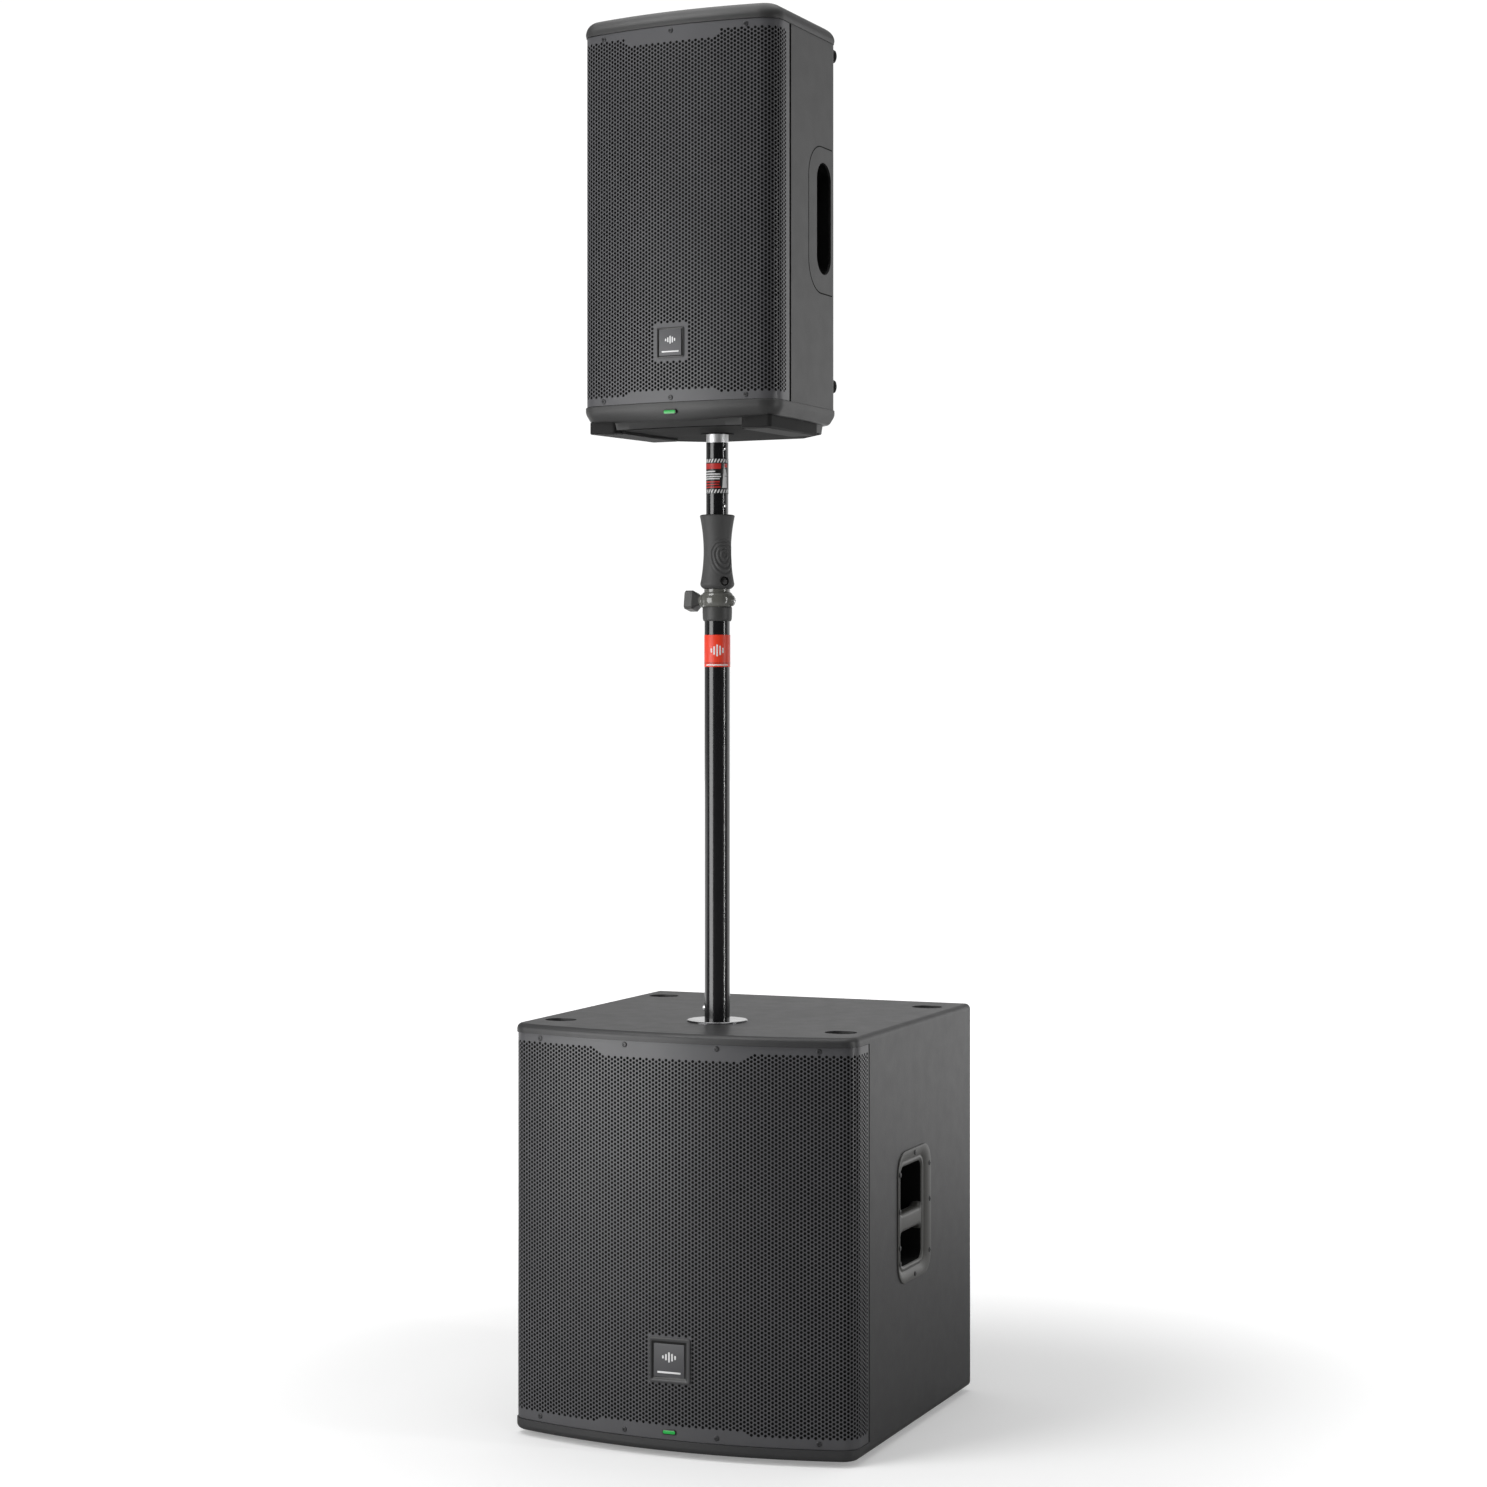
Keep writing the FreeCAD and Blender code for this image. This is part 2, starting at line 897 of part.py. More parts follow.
def foot_body(name):
    body = new_body(name, keep=False)
    sketch = new_sketch(body, "XY_Plane")
    rounded(
        sketch,
        -(S.foot_length / 2),
        -(S.foot_breadth / 2),
        S.foot_length,
        S.foot_breadth,
        S.foot_breadth / 2 - 1,
    )
    pad(body, sketch, S.foot_height)
    fillet(body, 1.5, lambda e: e.BoundBox.ZMax < 0.01)
    return body


copies("sub_feet", foot_body("foot_master"), [at(x, y, 0) for x, y in foot_places()])


# Pole

def pole_piece(name, profile):
    """A piece turned about the pole's axis, with heights from the subwoofer's top."""
    body = revolved(name, profile)
    place(body, 0, pole_y, sub_top)
    return body


def tube(name, inner, outer, base, top):
    return pole_piece(name, [(inner, base), (outer, base), (outer, top), (inner, top)])


stud_radius = 10
stud_hole_depth = 60
pole_piece(
    "sub_pole_socket",
    [
        (stud_radius, 0),
        (stud_radius, -stud_hole_depth),
        (0, -stud_hole_depth),
        (0, -110),
        (pole_socket_radius, -110),
        (pole_socket_radius, 0),
        (S.disc_radius, 0),
        (S.disc_radius, S.disc_thick - 1),
        (S.disc_radius - 1, S.disc_thick),
        (stud_radius, S.disc_thick),
    ],
)
lower_tube = tube("pole_lower_tube", S.lower_bore, S.lower_tube, S.disc_thick, S.collar_step)
set_screw_height = 20
set_hole = new_sketch(lower_tube, "YZ_Plane", -S.lower_tube - 1)
circle(set_hole, 0, set_screw_height, 2.5)
pocket(lower_tube, set_hole, 5, backwards=True)
pole_piece(
    "pole_stud",
    [
        (0, -45),
        (stud_radius - 1.5, -45),
        (stud_radius - 0.1, -43),
        (stud_radius - 0.1, S.disc_thick),
        (S.lower_bore - film, S.disc_thick),
        (S.lower_bore - film, S.stud_top),
        (0, S.stud_top),
    ],
)
set_screw = revolved(
    "pole_set_screw", [(0, -1.7), (2.4, -1.7), (2.4, film), (4, film), (4, 3), (0, 3)]
)
place(set_screw, -S.lower_tube, pole_y, sub_top + set_screw_height, Rotation(Y_AXIS, -90))

collar_bore = S.lower_tube + 0.02
guide_bore = S.upper_tube + 0.08
collar = pole_piece(
    "pole_collar",
    [
        (collar_bore, S.collar_base),
        (S.sleeve_radius, S.collar_base),
        (S.sleeve_radius, S.collar_step),
        (S.clamp_radius, S.collar_step + 1.5),
        (S.clamp_radius, S.collar_top - 1.5),
        (S.clamp_radius - 1.5, S.collar_top),
        (S.upper_tube + 3.5, S.collar_top),
        (S.upper_tube + 3, S.collar_lip),
        (guide_bore, S.collar_lip),
        (guide_bore, S.collar_step + film),
        (collar_bore, S.collar_step + film),
    ],
)
bolt_radius = 4
boss = new_sketch(collar, "YZ_Plane", -S.clamp_radius + 4)
circle(boss, 0, S.clamp_height, 10)
pad(collar, boss, 8, backwards=True)
bolt_hole = new_sketch(collar, "YZ_Plane", -S.clamp_radius - 5)
circle(bolt_hole, 0, S.clamp_height, bolt_radius + film)
pocket(collar, bolt_hole, 12, backwards=True)
lug = new_sketch(collar, "YZ_Plane", S.clamp_radius - 3)
circle(lug, 0, S.clamp_height, 7)
pad(collar, lug, 8)

hub_radius = 13
knob = new_body("pole_clamp_knob")
stem = new_sketch(knob, "YZ_Plane")
circle(stem, 0, 0, bolt_radius)
pad(knob, stem, 10)
hub = new_sketch(knob, "YZ_Plane")
circle(hub, 0, 0, hub_radius)
pad(knob, hub, 22, backwards=True)
wing = new_sketch(knob, "YZ_Plane", -4)
circle(wing, hub_radius, 0, 5.5)
wing_pad = pad(knob, wing, 17, backwards=True)
wings = knob.newObject("PartDesign::PolarPattern", "pole_clamp_wings")
wings.Originals = [wing_pad]
wings.Axis = (wing, ["N_Axis"])
wings.Angle = 360
wings.Occurrences = 4
knob.Tip = wings
doc.recompute()
place(knob, -S.clamp_radius - 4.5, pole_y, sub_top + S.clamp_height)

tube("pole_upper_tube", S.upper_bore, S.upper_tube, S.upper_base, S.upper_top)
waist = (S.grip_low_radius + S.grip_high_radius) / 2 - S.grip_waist_radius
grip_curve = bow_radius(S.grip_top - S.grip_base - 2 * S.grip_edge, waist)
grip_bore = S.upper_tube + 0.02
pole_piece(
    "pole_grip",
    [
        (grip_bore, S.grip_base),
        (S.grip_low_radius - S.grip_edge, S.grip_base),
        (S.grip_low_radius, S.grip_base + S.grip_edge, grip_curve, 1),
        (S.grip_high_radius, S.grip_top - S.grip_edge),
        (S.grip_high_radius - S.grip_edge, S.grip_top),
        (grip_bore, S.grip_top),
    ],
)
plug_radius = S.upper_bore - film
plug_base = S.upper_top - 30
pole_piece(
    "pole_spigot",
    [
        (0, plug_base),
        (plug_radius, plug_base),
        (plug_radius, S.upper_top),
        (S.spigot_radius, S.upper_top),
        (S.spigot_radius, S.spigot_top - 2),
        (S.spigot_radius - 2, S.spigot_top),
        (0, S.spigot_top),
    ],
)

# Gas spring inside the pole: the cylinder stands on the stud and the rod pushes the spigot's plug.
rod_radius = 5
cylinder_bore = 9.5
pole_piece(
    "pole_gas_cylinder",
    [
        (0, S.stud_top),
        (11, S.stud_top),
        (11, S.gas_top),
        (rod_radius + film, S.gas_top),
        (rod_radius + film, S.gas_top - 14),
        (cylinder_bore, S.gas_top - 14),
        (cylinder_bore, S.stud_top + 10),
        (0, S.stud_top + 10),
    ],
)
piston_base = S.stud_top + 30
piston_radius = cylinder_bore - 0.5
pole_piece(
    "pole_gas_rod",
    [
        (0, piston_base),
        (piston_radius, piston_base),
        (piston_radius, piston_base + 10),
        (rod_radius, piston_base + 10),
        (rod_radius, plug_base - 20),
        (plug_radius, plug_base - 20),
        (plug_radius, plug_base - film),
        (0, plug_base - film),
    ],
)


# Top speaker, in its own frame: the pole's axis is its Z axis, and the cabinet's underside is at 0.
face = -S.head_front
back = face + S.head_side
head_half = S.head_width / 2
side_half = head_half - S.head_taper


def head_plan(body, z, grow):
    """The cabinet's full outline, grown by grow."""
    sketch = new_sketch(body, "XY_Plane", z)
    radius = bow_radius(S.head_width + 2 * grow, S.head_bow)
    outline(
        sketch,
        [
            (-(side_half + grow), back),
            (-(head_half + grow), face - grow, radius, -1),
            (head_half + grow, face - grow),
            (side_half + grow, back),
            (S.head_rear_half, S.head_rear + grow),
            (-S.head_rear_half, S.head_rear + grow),
        ],
    )
    return sketch


def round_facets(body):
    fillet(body, S.facet_round, lambda e: upright(e) and e.BoundBox.YMin > back.value - 1)


def round_head_corners(body):
    level = face.value
    fillet(body, S.front_round, lambda e: upright(e) and e.BoundBox.YMax < level + 5)
    round_facets(body)


cap_hole_radius = 26
bottom_cap = new_body("head_bottom_cap")
pad(bottom_cap, head_plan(bottom_cap, 0, S.cap_overhang), S.bottom_cap)
round_head_corners(bottom_cap)
fillet(bottom_cap, S.facet_round, lambda e: e.BoundBox.ZMax < 0.01)
hollow(bottom_cap, S.shell_wall, lambda f: f.BoundBox.ZMin > S.bottom_cap.value - 0.01)
cap_hole = new_sketch(bottom_cap, "XY_Plane", 0)
circle(cap_hole, 0, 0, cap_hole_radius)
pocket(bottom_cap, cap_hole, S.shell_wall + 1, backwards=True)
place_in_head(bottom_cap)

cap_base = S.bottom_cap + S.head_body
top_cap = new_body("head_top_cap")
pad(top_cap, head_plan(top_cap, cap_base, S.cap_overhang), S.top_cap)
round_head_corners(top_cap)
cap_level = (cap_base + S.top_cap).value
fillet(top_cap, S.top_round, lambda e: e.BoundBox.ZMin > cap_level - 0.01)
hollow(top_cap, S.shell_wall, lambda f: f.BoundBox.ZMax < cap_base.value + 0.01)
place_in_head(top_cap)

shell_front = face + S.head_wrap + S.groove
shell_front_half = head_half - S.head_taper * (S.head_wrap + S.groove) / S.head_side
cabinet = new_body("head_cabinet")
cabinet_plan = new_sketch(cabinet, "XY_Plane", S.bottom_cap)
outline(
    cabinet_plan,
    [
        (-side_half, back),
        (-shell_front_half, shell_front),
        (shell_front_half, shell_front),
        (side_half, back),
        (S.head_rear_half, S.head_rear),
        (-S.head_rear_half, S.head_rear),
    ],
)
pad(cabinet, cabinet_plan, S.head_body)
round_facets(cabinet)
front_level = shell_front.value
hollow(
    cabinet,
    S.shell_wall,
    lambda f: f.BoundBox.ZLength < 0.01 or f.BoundBox.YMax < front_level + 0.01,
)

# The hand slots sit low on the cabinet's sides, close to the rear facets.
slot_front = face + S.slot_setback
slot_middle = slot_front + S.slot_length / 2
slot_centre = S.slot_base + S.slot_tall / 2
side_slot = new_sketch(cabinet, "YZ_Plane", head_half + 5)
rounded(
    side_slot, slot_front, S.slot_base, S.slot_length, S.slot_tall, S.slot_length / 2 - 0.5
)
pocket(cabinet, side_slot, head_half * 2 + 10)
head_plate_z = S.head_plate_lift
head_amp_hole = new_sketch(cabinet, "XZ_Plane", -S.head_rear)
rectangle(
    head_amp_hole,
    -(S.head_plate_width / 2) + S.plate_opening,
    head_plate_z - S.head_plate_tall / 2 + S.plate_opening,
    S.head_plate_width - 2 * S.plate_opening,
    S.head_plate_tall - 2 * S.plate_opening,
)
pocket(cabinet, head_amp_hole, S.shell_wall + 1, backwards=True)
place_in_head(cabinet)

mouth_length = S.slot_length + 2
mouth_tall = S.slot_tall + 2
cup_wall = 3
cup_length = mouth_length + 2 * cup_wall
cup_tall = mouth_tall + 2 * cup_wall
cup_master = new_body("handle_cup_master", keep=False)
cup_face = new_sketch(cup_master, "YZ_Plane")
rectangle(cup_face, -cup_length / 2, -cup_tall / 2, cup_length, cup_tall)
pad(cup_master, cup_face, S.slot_cup_depth, backwards=True)
cup_mouth = new_sketch(cup_master, "YZ_Plane")
rounded(cup_mouth, -mouth_length / 2, -mouth_tall / 2, mouth_length, mouth_tall, 20)
pocket(cup_master, cup_mouth, S.slot_cup_depth - cup_wall)
side_slope = S.head_taper / S.head_side
lean = math.degrees(math.atan(side_slope.value))
slot_half = head_half - side_slope * (slot_middle - face)
cup_inset = slot_half - (S.shell_wall + 2 * film) / math.cos(math.radians(lean))
copies(
    "head_handle_cups",
    cup_master,
    [
        at(cup_inset, slot_middle, slot_centre, Rotation(Z_AXIS, lean)),
        at(-cup_inset, slot_middle, slot_centre, Rotation(Z_AXIS, 180 - lean)),
    ],
    head=True,
)

head_grille_base = S.bottom_cap + 0.5
head_grille_tall = S.head_body - 1
head_grille = wrap_grille(
    "head_grille",
    S.head_width,
    S.head_bow,
    face,
    S.head_wrap,
    head_grille_base,
    head_grille_tall,
    S.head_taper * S.head_wrap / S.head_side,
)
place_in_head(head_grille)
place_in_head(
    foam_behind(
        "head_grille_foam", S.head_width, S.head_bow, face, head_grille_base, head_grille_tall, 36
    )
)

# The front baffle is a tray that fits inside the grille and meets the shell.
tray_half = shell_front_half - S.shell_wall
tray_front = face + 16
tray = new_body("head_baffle")
tray_plan = new_sketch(tray, "XY_Plane", S.bottom_cap + 0.5)
outline(
    tray_plan,
    [
        (-tray_half, shell_front),
        (-(tray_half - 2), tray_front),
        (tray_half - 2, tray_front),
        (tray_half, shell_front),
    ],
)
pad(tray, tray_plan, S.head_body - 1)
hollow(tray, 6, lambda f: f.BoundBox.YMin > shell_front.value - 0.01)
woofer_z = S.bottom_cap + 150
horn_z = S.bottom_cap + S.head_body - 140
tray_holes = new_sketch(tray, "XZ_Plane", -tray_front)
circle(tray_holes, 0, woofer_z, S.head_driver * DRIVER_OPENING)
rectangle(
    tray_holes, -S.horn_width / 2, horn_z - S.horn_tall / 2, S.horn_width, S.horn_tall
)
pocket(tray, tray_holes, 8)
place_in_head(tray)
driver(
    "head", S.head_driver, lambda piece: place_in_head(piece, 0, tray_front, woofer_z, FACE_FRONT)
)

# Horn: a flare from a wide mouth down to the compression driver's throat.
horn = new_body("head_horn")


def flare_section(y, width, tall):
    sketch = new_sketch(horn, "XZ_Plane", -y)
    rectangle(sketch, -(width / 2), horn_z - tall / 2, width, tall)
    return sketch


def loft(kind, first, second):
    feature = horn.newObject("PartDesign::" + kind, "head_horn_" + kind)
    feature.Profile = first
    feature.Sections = [second]
    feature.Ruled = True
    doc.recompute()


horn_wall = 3
flange_lap = 8
flare_width = S.horn_width - 2
flare_tall = S.horn_tall - 2
throat_y = tray_front + S.horn_depth
horn_flange = new_sketch(horn, "XZ_Plane", -tray_front)
rounded(
    horn_flange,
    -S.horn_width / 2 - flange_lap,
    horn_z - S.horn_tall / 2 - flange_lap,
    S.horn_width + 2 * flange_lap,
    S.horn_tall + 2 * flange_lap,
    14,
)
pad(horn, horn_flange, horn_wall)
loft(
    "AdditiveLoft",
    flare_section(tray_front, flare_width, flare_tall),
    flare_section(throat_y, S.horn_throat + 2 * horn_wall, S.horn_throat + 2 * horn_wall),
)
loft(
    "SubtractiveLoft",
    flare_section(tray_front - horn_wall, flare_width - 2 * horn_wall, flare_tall - 2 * horn_wall),
    flare_section(throat_y, S.horn_throat, S.horn_throat),
)
place_in_head(horn)
throat_bore = 12
snout = 24
can = 45
compression = revolved(
    "head_compression_driver",
    [
        (throat_bore, 0),
        (snout, 0),
        (snout, -8),
        (can, -12),
        (can, -40),
        (can - 5, -52),
        (0, -52),
        (0, -30),
        (throat_bore, -30),
    ],
)
place_in_head(compression, 0, throat_y, horn_z, FACE_FRONT)

socket_bore = S.spigot_radius + 0.08
socket_collar = 25.5
socket_flange = 34
socket_wall = 22
flange_seat = S.shell_wall + film
bore_top = S.spigot_top - S.head_lift + gap
head_socket = revolved(
    "head_pole_socket",
    [
        (socket_bore, -1),
        (socket_collar, -1),
        (socket_collar, flange_seat),
        (socket_flange, flange_seat),
        (socket_flange, S.shell_wall + 5),
        (socket_wall, S.shell_wall + 5),
        (socket_wall, S.socket_depth + 10),
        (0, S.socket_depth + 10),
        (0, bore_top),
        (socket_bore, bore_top),
    ],
)
place_in_head(head_socket)

# Skids and bumpers under and behind the cabinet
skid_width = 42
skid_depth = 4
skid = new_body("skid_master", keep=False)
skid_side = new_sketch(skid, "YZ_Plane", -skid_width / 2)
outline(
    skid_side,
    [
        (face + 18, 0),
        (face + 20, -skid_depth),
        (back - 42, -skid_depth),
        (back - 40, 0),
    ],
)
pad(skid, skid_side, skid_width)
rubber = [(skid, at(side * S.skid_x, 0, -film)) for side in (-1, 1)]
bumper = revolved(
    "bumper_master", [(0, 0), (11, 0), (11, 4), (9.5, 7), (6, 8.6), (0, 8.6)], keep=False
)
facet_angle = math.degrees(
    math.atan2(side_half.value - S.head_rear_half.value, S.head_rear.value - back.value)
)
bumper_share = 0.18
bumper_x = side_half.value + (S.head_rear_half.value - side_half.value) * bumper_share
bumper_y = back.value + (S.head_rear.value - back.value) * bumper_share
for bumper_z in (77, 597):
    for side in (-1, 1):
        outward = Vector(
            side * math.cos(math.radians(facet_angle)), math.sin(math.radians(facet_angle)), 0
        )
        foot = Vector(side * bumper_x, bumper_y, bumper_z) + outward * film
        rubber.append((bumper, Placement(foot, Rotation(Z_AXIS, outward))))
group("head_rubber_feet", rubber, head=True)

head_apex = face - S.head_bow
place_in_head(
    badge(
        "head_badge", head_apex - film, S.head_badge_lift, S.head_badge_side, S.head_badge_plate
    )
)
place_in_head(
    status_window("head_status_window", head_apex - S.cap_overhang - film, S.head_window_lift)
)


# Amplifier panels. Each piece is drawn with the plate's outer face at y = 0 and its middle at x = z = 0.

shaft_radius = 3
rocker_pivot = 1.5


def plate_spots(width, tall):
    """Screw places round the plate's edge."""
    inset = 6
    x = as_size(width).value / 2 - inset
    z = as_size(tall).value / 2 - inset
    return [(sx * x, level * z) for sx in (-1, 1) for level in (-1, 0, 1)]


def amp_plate(name, width, tall, sockets, knob_at, inlet_at):
    body = new_body(name)
    outer_face = new_sketch(body, "XZ_Plane")
    rounded(outer_face, -(width / 2), -(tall / 2), width, tall, 4)
    for socket_x, socket_z in sockets:
        circle(outer_face, socket_x, socket_z, S.socket_hole)
    circle(outer_face, knob_at[0], knob_at[1], shaft_radius + 0.06)
    rectangle(
        outer_face,
        inlet_at[0] - S.inlet_width / 2,
        inlet_at[1] - S.inlet_tall / 2,
        S.inlet_width,
        S.inlet_tall,
    )
    pad(body, outer_face, S.plate_thick)
    return body


def amp_module(name, width, low, tall, depth):
    """A heat spreader with a row of fins, held off the plate by four posts."""
    inner = S.plate_thick + depth
    spreader_thick = 6
    fin_thick = 3
    fin_count = 9
    post = 10
    body = new_body(name)
    spreader = new_sketch(body, "XZ_Plane", inner)
    rectangle(spreader, -(width / 2), low, width, tall)
    pad(body, spreader, spreader_thick)
    fin = new_sketch(body, "XZ_Plane", inner)
    rectangle(fin, -(width / 2), low, fin_thick, tall)
    fin_pad = pad(body, fin, depth - 12, backwards=True)
    fins = body.newObject("PartDesign::LinearPattern", name + "_fins")
    fins.Originals = [fin_pad]
    fins.Direction = (fin, ["H_Axis"])
    bind(fins, "Length", width - fin_thick)
    fins.Occurrences = fin_count
    body.Tip = fins
    doc.recompute()
    posts = new_sketch(body, "XZ_Plane", inner)
    post_x = width / 2 + 4
    for post_side in (-1, 1):
        for post_z in (low + 12, low + tall - 12):
            rectangle(posts, post_side * post_x - post / 2, post_z - post / 2, post, post)
    pad(body, posts, depth, backwards=True)
    return body


def signal_socket(name):
    """A round three-pin panel socket."""
    flange_thick = 1.5
    well_floor = -14
    body = new_body(name, keep=False)
    flange = new_sketch(body, "XZ_Plane")
    rounded(flange, -13, -15.5, 26, 31, 4)
    pad(body, flange, flange_thick)
    barrel = new_sketch(body, "XZ_Plane")
    circle(barrel, 0, 0, S.socket_hole - 0.1)
    pad(body, barrel, 21, backwards=True)
    mouth = new_sketch(body, "XZ_Plane", flange_thick)
    circle(mouth, 0, 0, S.socket_mouth)
    pocket(body, mouth, 15)
    pins = new_sketch(body, "XZ_Plane", well_floor)
    for pin_x, pin_z in ((-3.8, 2.4), (3.8, 2.4), (0, -4)):
        circle(pins, pin_x, pin_z, 1.2)
    pad(body, pins, 11)
    return body


def mains_inlet(name):
    """An inlet with three blades, beside a well that holds the rocker on its pivot."""
    flange_thick = 2
    barrel_width = S.inlet_width - 0.4
    barrel_tall = S.inlet_tall - 0.4
    blade_width = 2
    blade_tall = 4
    body = new_body(name)
    flange = new_sketch(body, "XZ_Plane")
    rounded(flange, -39, -16, 78, 32, 5)
    pad(body, flange, flange_thick)
    barrel = new_sketch(body, "XZ_Plane")
    rectangle(barrel, -(barrel_width / 2), -(barrel_tall / 2), barrel_width, barrel_tall)
    pad(body, barrel, 24, backwards=True)
    wells = new_sketch(body, "XZ_Plane", flange_thick)
    rounded(wells, -30, -8.5, 25, 17, 3)
    rectangle(wells, 4, -7.5, 22, 15)
    pocket(body, wells, 20)
    blades = new_sketch(body, "XZ_Plane", -18)
    for blade_x, blade_z in ((-23.5, -3.5), (-18.5, 0.5), (-13.5, -3.5)):
        rectangle(blades, blade_x, blade_z, blade_width, blade_tall)
    pad(body, blades, 15)
    pivot_holes = new_sketch(body, "YZ_Plane", 28)
    circle(pivot_holes, 3, 0, rocker_pivot + 0.06)
    pocket(body, pivot_holes, 26)
    return body


def mains_rocker(name):
    """The rocker, drawn about its own pivot."""
    rocker_width = 21
    pivot_width = 25
    body = new_body(name)
    profile = new_sketch(body, "YZ_Plane", -rocker_width / 2)
    outline(profile, [(-6, -4), (5.5, -6.2), (4, 0), (5.5, 6.2), (-6, 4)])
    pad(body, profile, rocker_width)
    pivot = new_sketch(body, "YZ_Plane", -pivot_width / 2)
    circle(pivot, 0, 0, rocker_pivot)
    pad(body, pivot, pivot_width)
    return body


def level_knob(name):
    """A knob on its shaft, with a pointer groove in its face."""
    shaft_end = -12
    skirt = 0.5
    body = revolved(
        name,
        [
            (0, shaft_end),
            (shaft_radius, shaft_end),
            (shaft_radius, skirt),
            (S.knob_radius, skirt),
            (S.knob_radius - 1, S.knob_tall - 1),
            (S.knob_radius - 2, S.knob_tall),
            (0, S.knob_tall),
        ],
    )
    pointer = new_sketch(body, "XY_Plane", S.knob_tall)
    rectangle(pointer, -0.6, 2, 1.2, 6)
    pocket(body, pointer, 0.8)
    return body


def amplifier(prefix, width, tall, sockets, knob_at, inlet_at, depth, stand):
    """Plate, module, sockets, inlet with its rocker, and level knob."""
    clear = 34
    fins_low = inlet_at[1] + clear
    fins_tall = sockets[0][1] - clear - fins_low
    plate = amp_plate(prefix + "_amp_plate", width, tall, sockets, knob_at, inlet_at)
    module = amp_module(prefix + "_amp_module", width - 60, fins_low, fins_tall, depth)
    flip = Rotation(Z_AXIS, 180)
    sockets_node = copies(
        prefix + "_signal_sockets",
        signal_socket(prefix + "_socket_master"),
        [at(x, film, z, flip) for x, z in sockets],
    )
    for piece in (plate, module, sockets_node):
        stand(piece, 0, 0, 0, Rotation())
    inlet_x, inlet_z = inlet_at
    stand(mains_inlet(prefix + "_mains_inlet"), inlet_x, film, inlet_z, flip)
    stand(
        mains_rocker(prefix + "_mains_rocker"),
        inlet_x - 15,
        film - 3,
        inlet_z,
        Rotation(X_AXIS, ROCKER_TILT),
    )
    stand(level_knob(prefix + "_level_knob"), knob_at[0], 0, knob_at[1], FACE_BACK)


sub_plate_face = rear_plane - S.plate_rebate + S.plate_thick
head_plate_face = S.head_rear + S.plate_thick + film


def on_sub_back(piece, x, y, z, turn):
    """Stand a piece, or a node of copies, on the subwoofer's amplifier plate."""
    place(piece, x, sub_plate_face + y, plate_centre + z, turn)


def on_head_back(piece, x, y, z, turn):
    """Stand a piece, or a node of copies, on the top speaker's amplifier plate."""
    place_in_head(piece, x, head_plate_face + y, head_plate_z + z, turn)


amplifier(
    "sub",
    S.sub_plate_width,
    S.sub_plate_tall,
    [(x, 130) for x in (-81, -27, 27, 81)],
    (60, 62),
    (-40, -150),
    S.sub_amp_depth,
    on_sub_back,
)
amplifier(
    "head",
    S.head_plate_width,
    S.head_plate_tall,
    [(x, 110) for x in (-45, 0, 45)],
    (36, 46),
    (0, -125),
    S.head_amp_depth,
    on_head_back,
)


# Screws. The handle spots are (along, up) from the flange's lowest front corner.
HANDLE_SPOTS = [
    (78, 198), (78, 8), (8, 172), (7, 115), (7, 59), (8, 34), (147, 172), (148, 115), (147, 34),
]
sub_screw_places = grille_screws(
    S.sub_width,
    S.sub_bow,
    grille_front,
    (-231, -76, 76, 231),
    (grille_base + 8.5, grille_base + grille_tall - 6),
)
for side in (-1, 1):
    for along, up in HANDLE_SPOTS:
        sub_screw_places.append(
            at(
                side * (half + S.handle_proud),
                front_plane + S.handle_front + along,
                floor_board + S.handle_base + up,
                Rotation(Y_AXIS, 90 * side),
            )
        )
for spot_x, spot_z in plate_spots(S.sub_plate_width, S.sub_plate_tall):
    sub_screw_places.append(at(spot_x, sub_plate_face, plate_centre + spot_z, FACE_BACK))
copies("sub_screws", screw, sub_screw_places)

head_screw_places = grille_screws(
    S.head_width,
    S.head_bow,
    face,
    (-124, 0, 124),
    (head_grille_base + 6.5, head_grille_base + head_grille_tall - 7.5),
)
for spot_x, spot_z in plate_spots(S.head_plate_width, S.head_plate_tall):
    head_screw_places.append(at(spot_x, head_plate_face, head_plate_z + spot_z, FACE_BACK))
copies("head_screws", screw, head_screw_places, head=True)


# Checks and export
doc.recompute()
for item in doc.Objects:
    if "Invalid" in item.State or "Error" in item.State:
        raise RuntimeError(f"{item.Name} failed: {item.State}")
for node in nodes:
    if node.Shape.isNull() or not node.Shape.isValid():
        raise RuntimeError(f"{node.Label} has no valid shape")
    if len(node.Shape.Solids) < 1:
        raise RuntimeError(f"{node.Label} has no solid")

os.makedirs("parts", exist_ok=True)
for node in nodes:
    node.Shape.exportStep(f"parts/{node.Label}.step")
print(len(nodes), "nodes written")
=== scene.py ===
"""A powered speaker on a telescopic pole over a powered subwoofer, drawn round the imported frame.

Lengths are in millimetres until a mesh is made. The speaker on the pole has its own frame: the
pole's axis is its Z axis, the underside of the cabinet is at 0, and it is turned on the pole.
"""

import math

import bmesh
import bpy
import numpy as np
from mathutils import Matrix, Vector


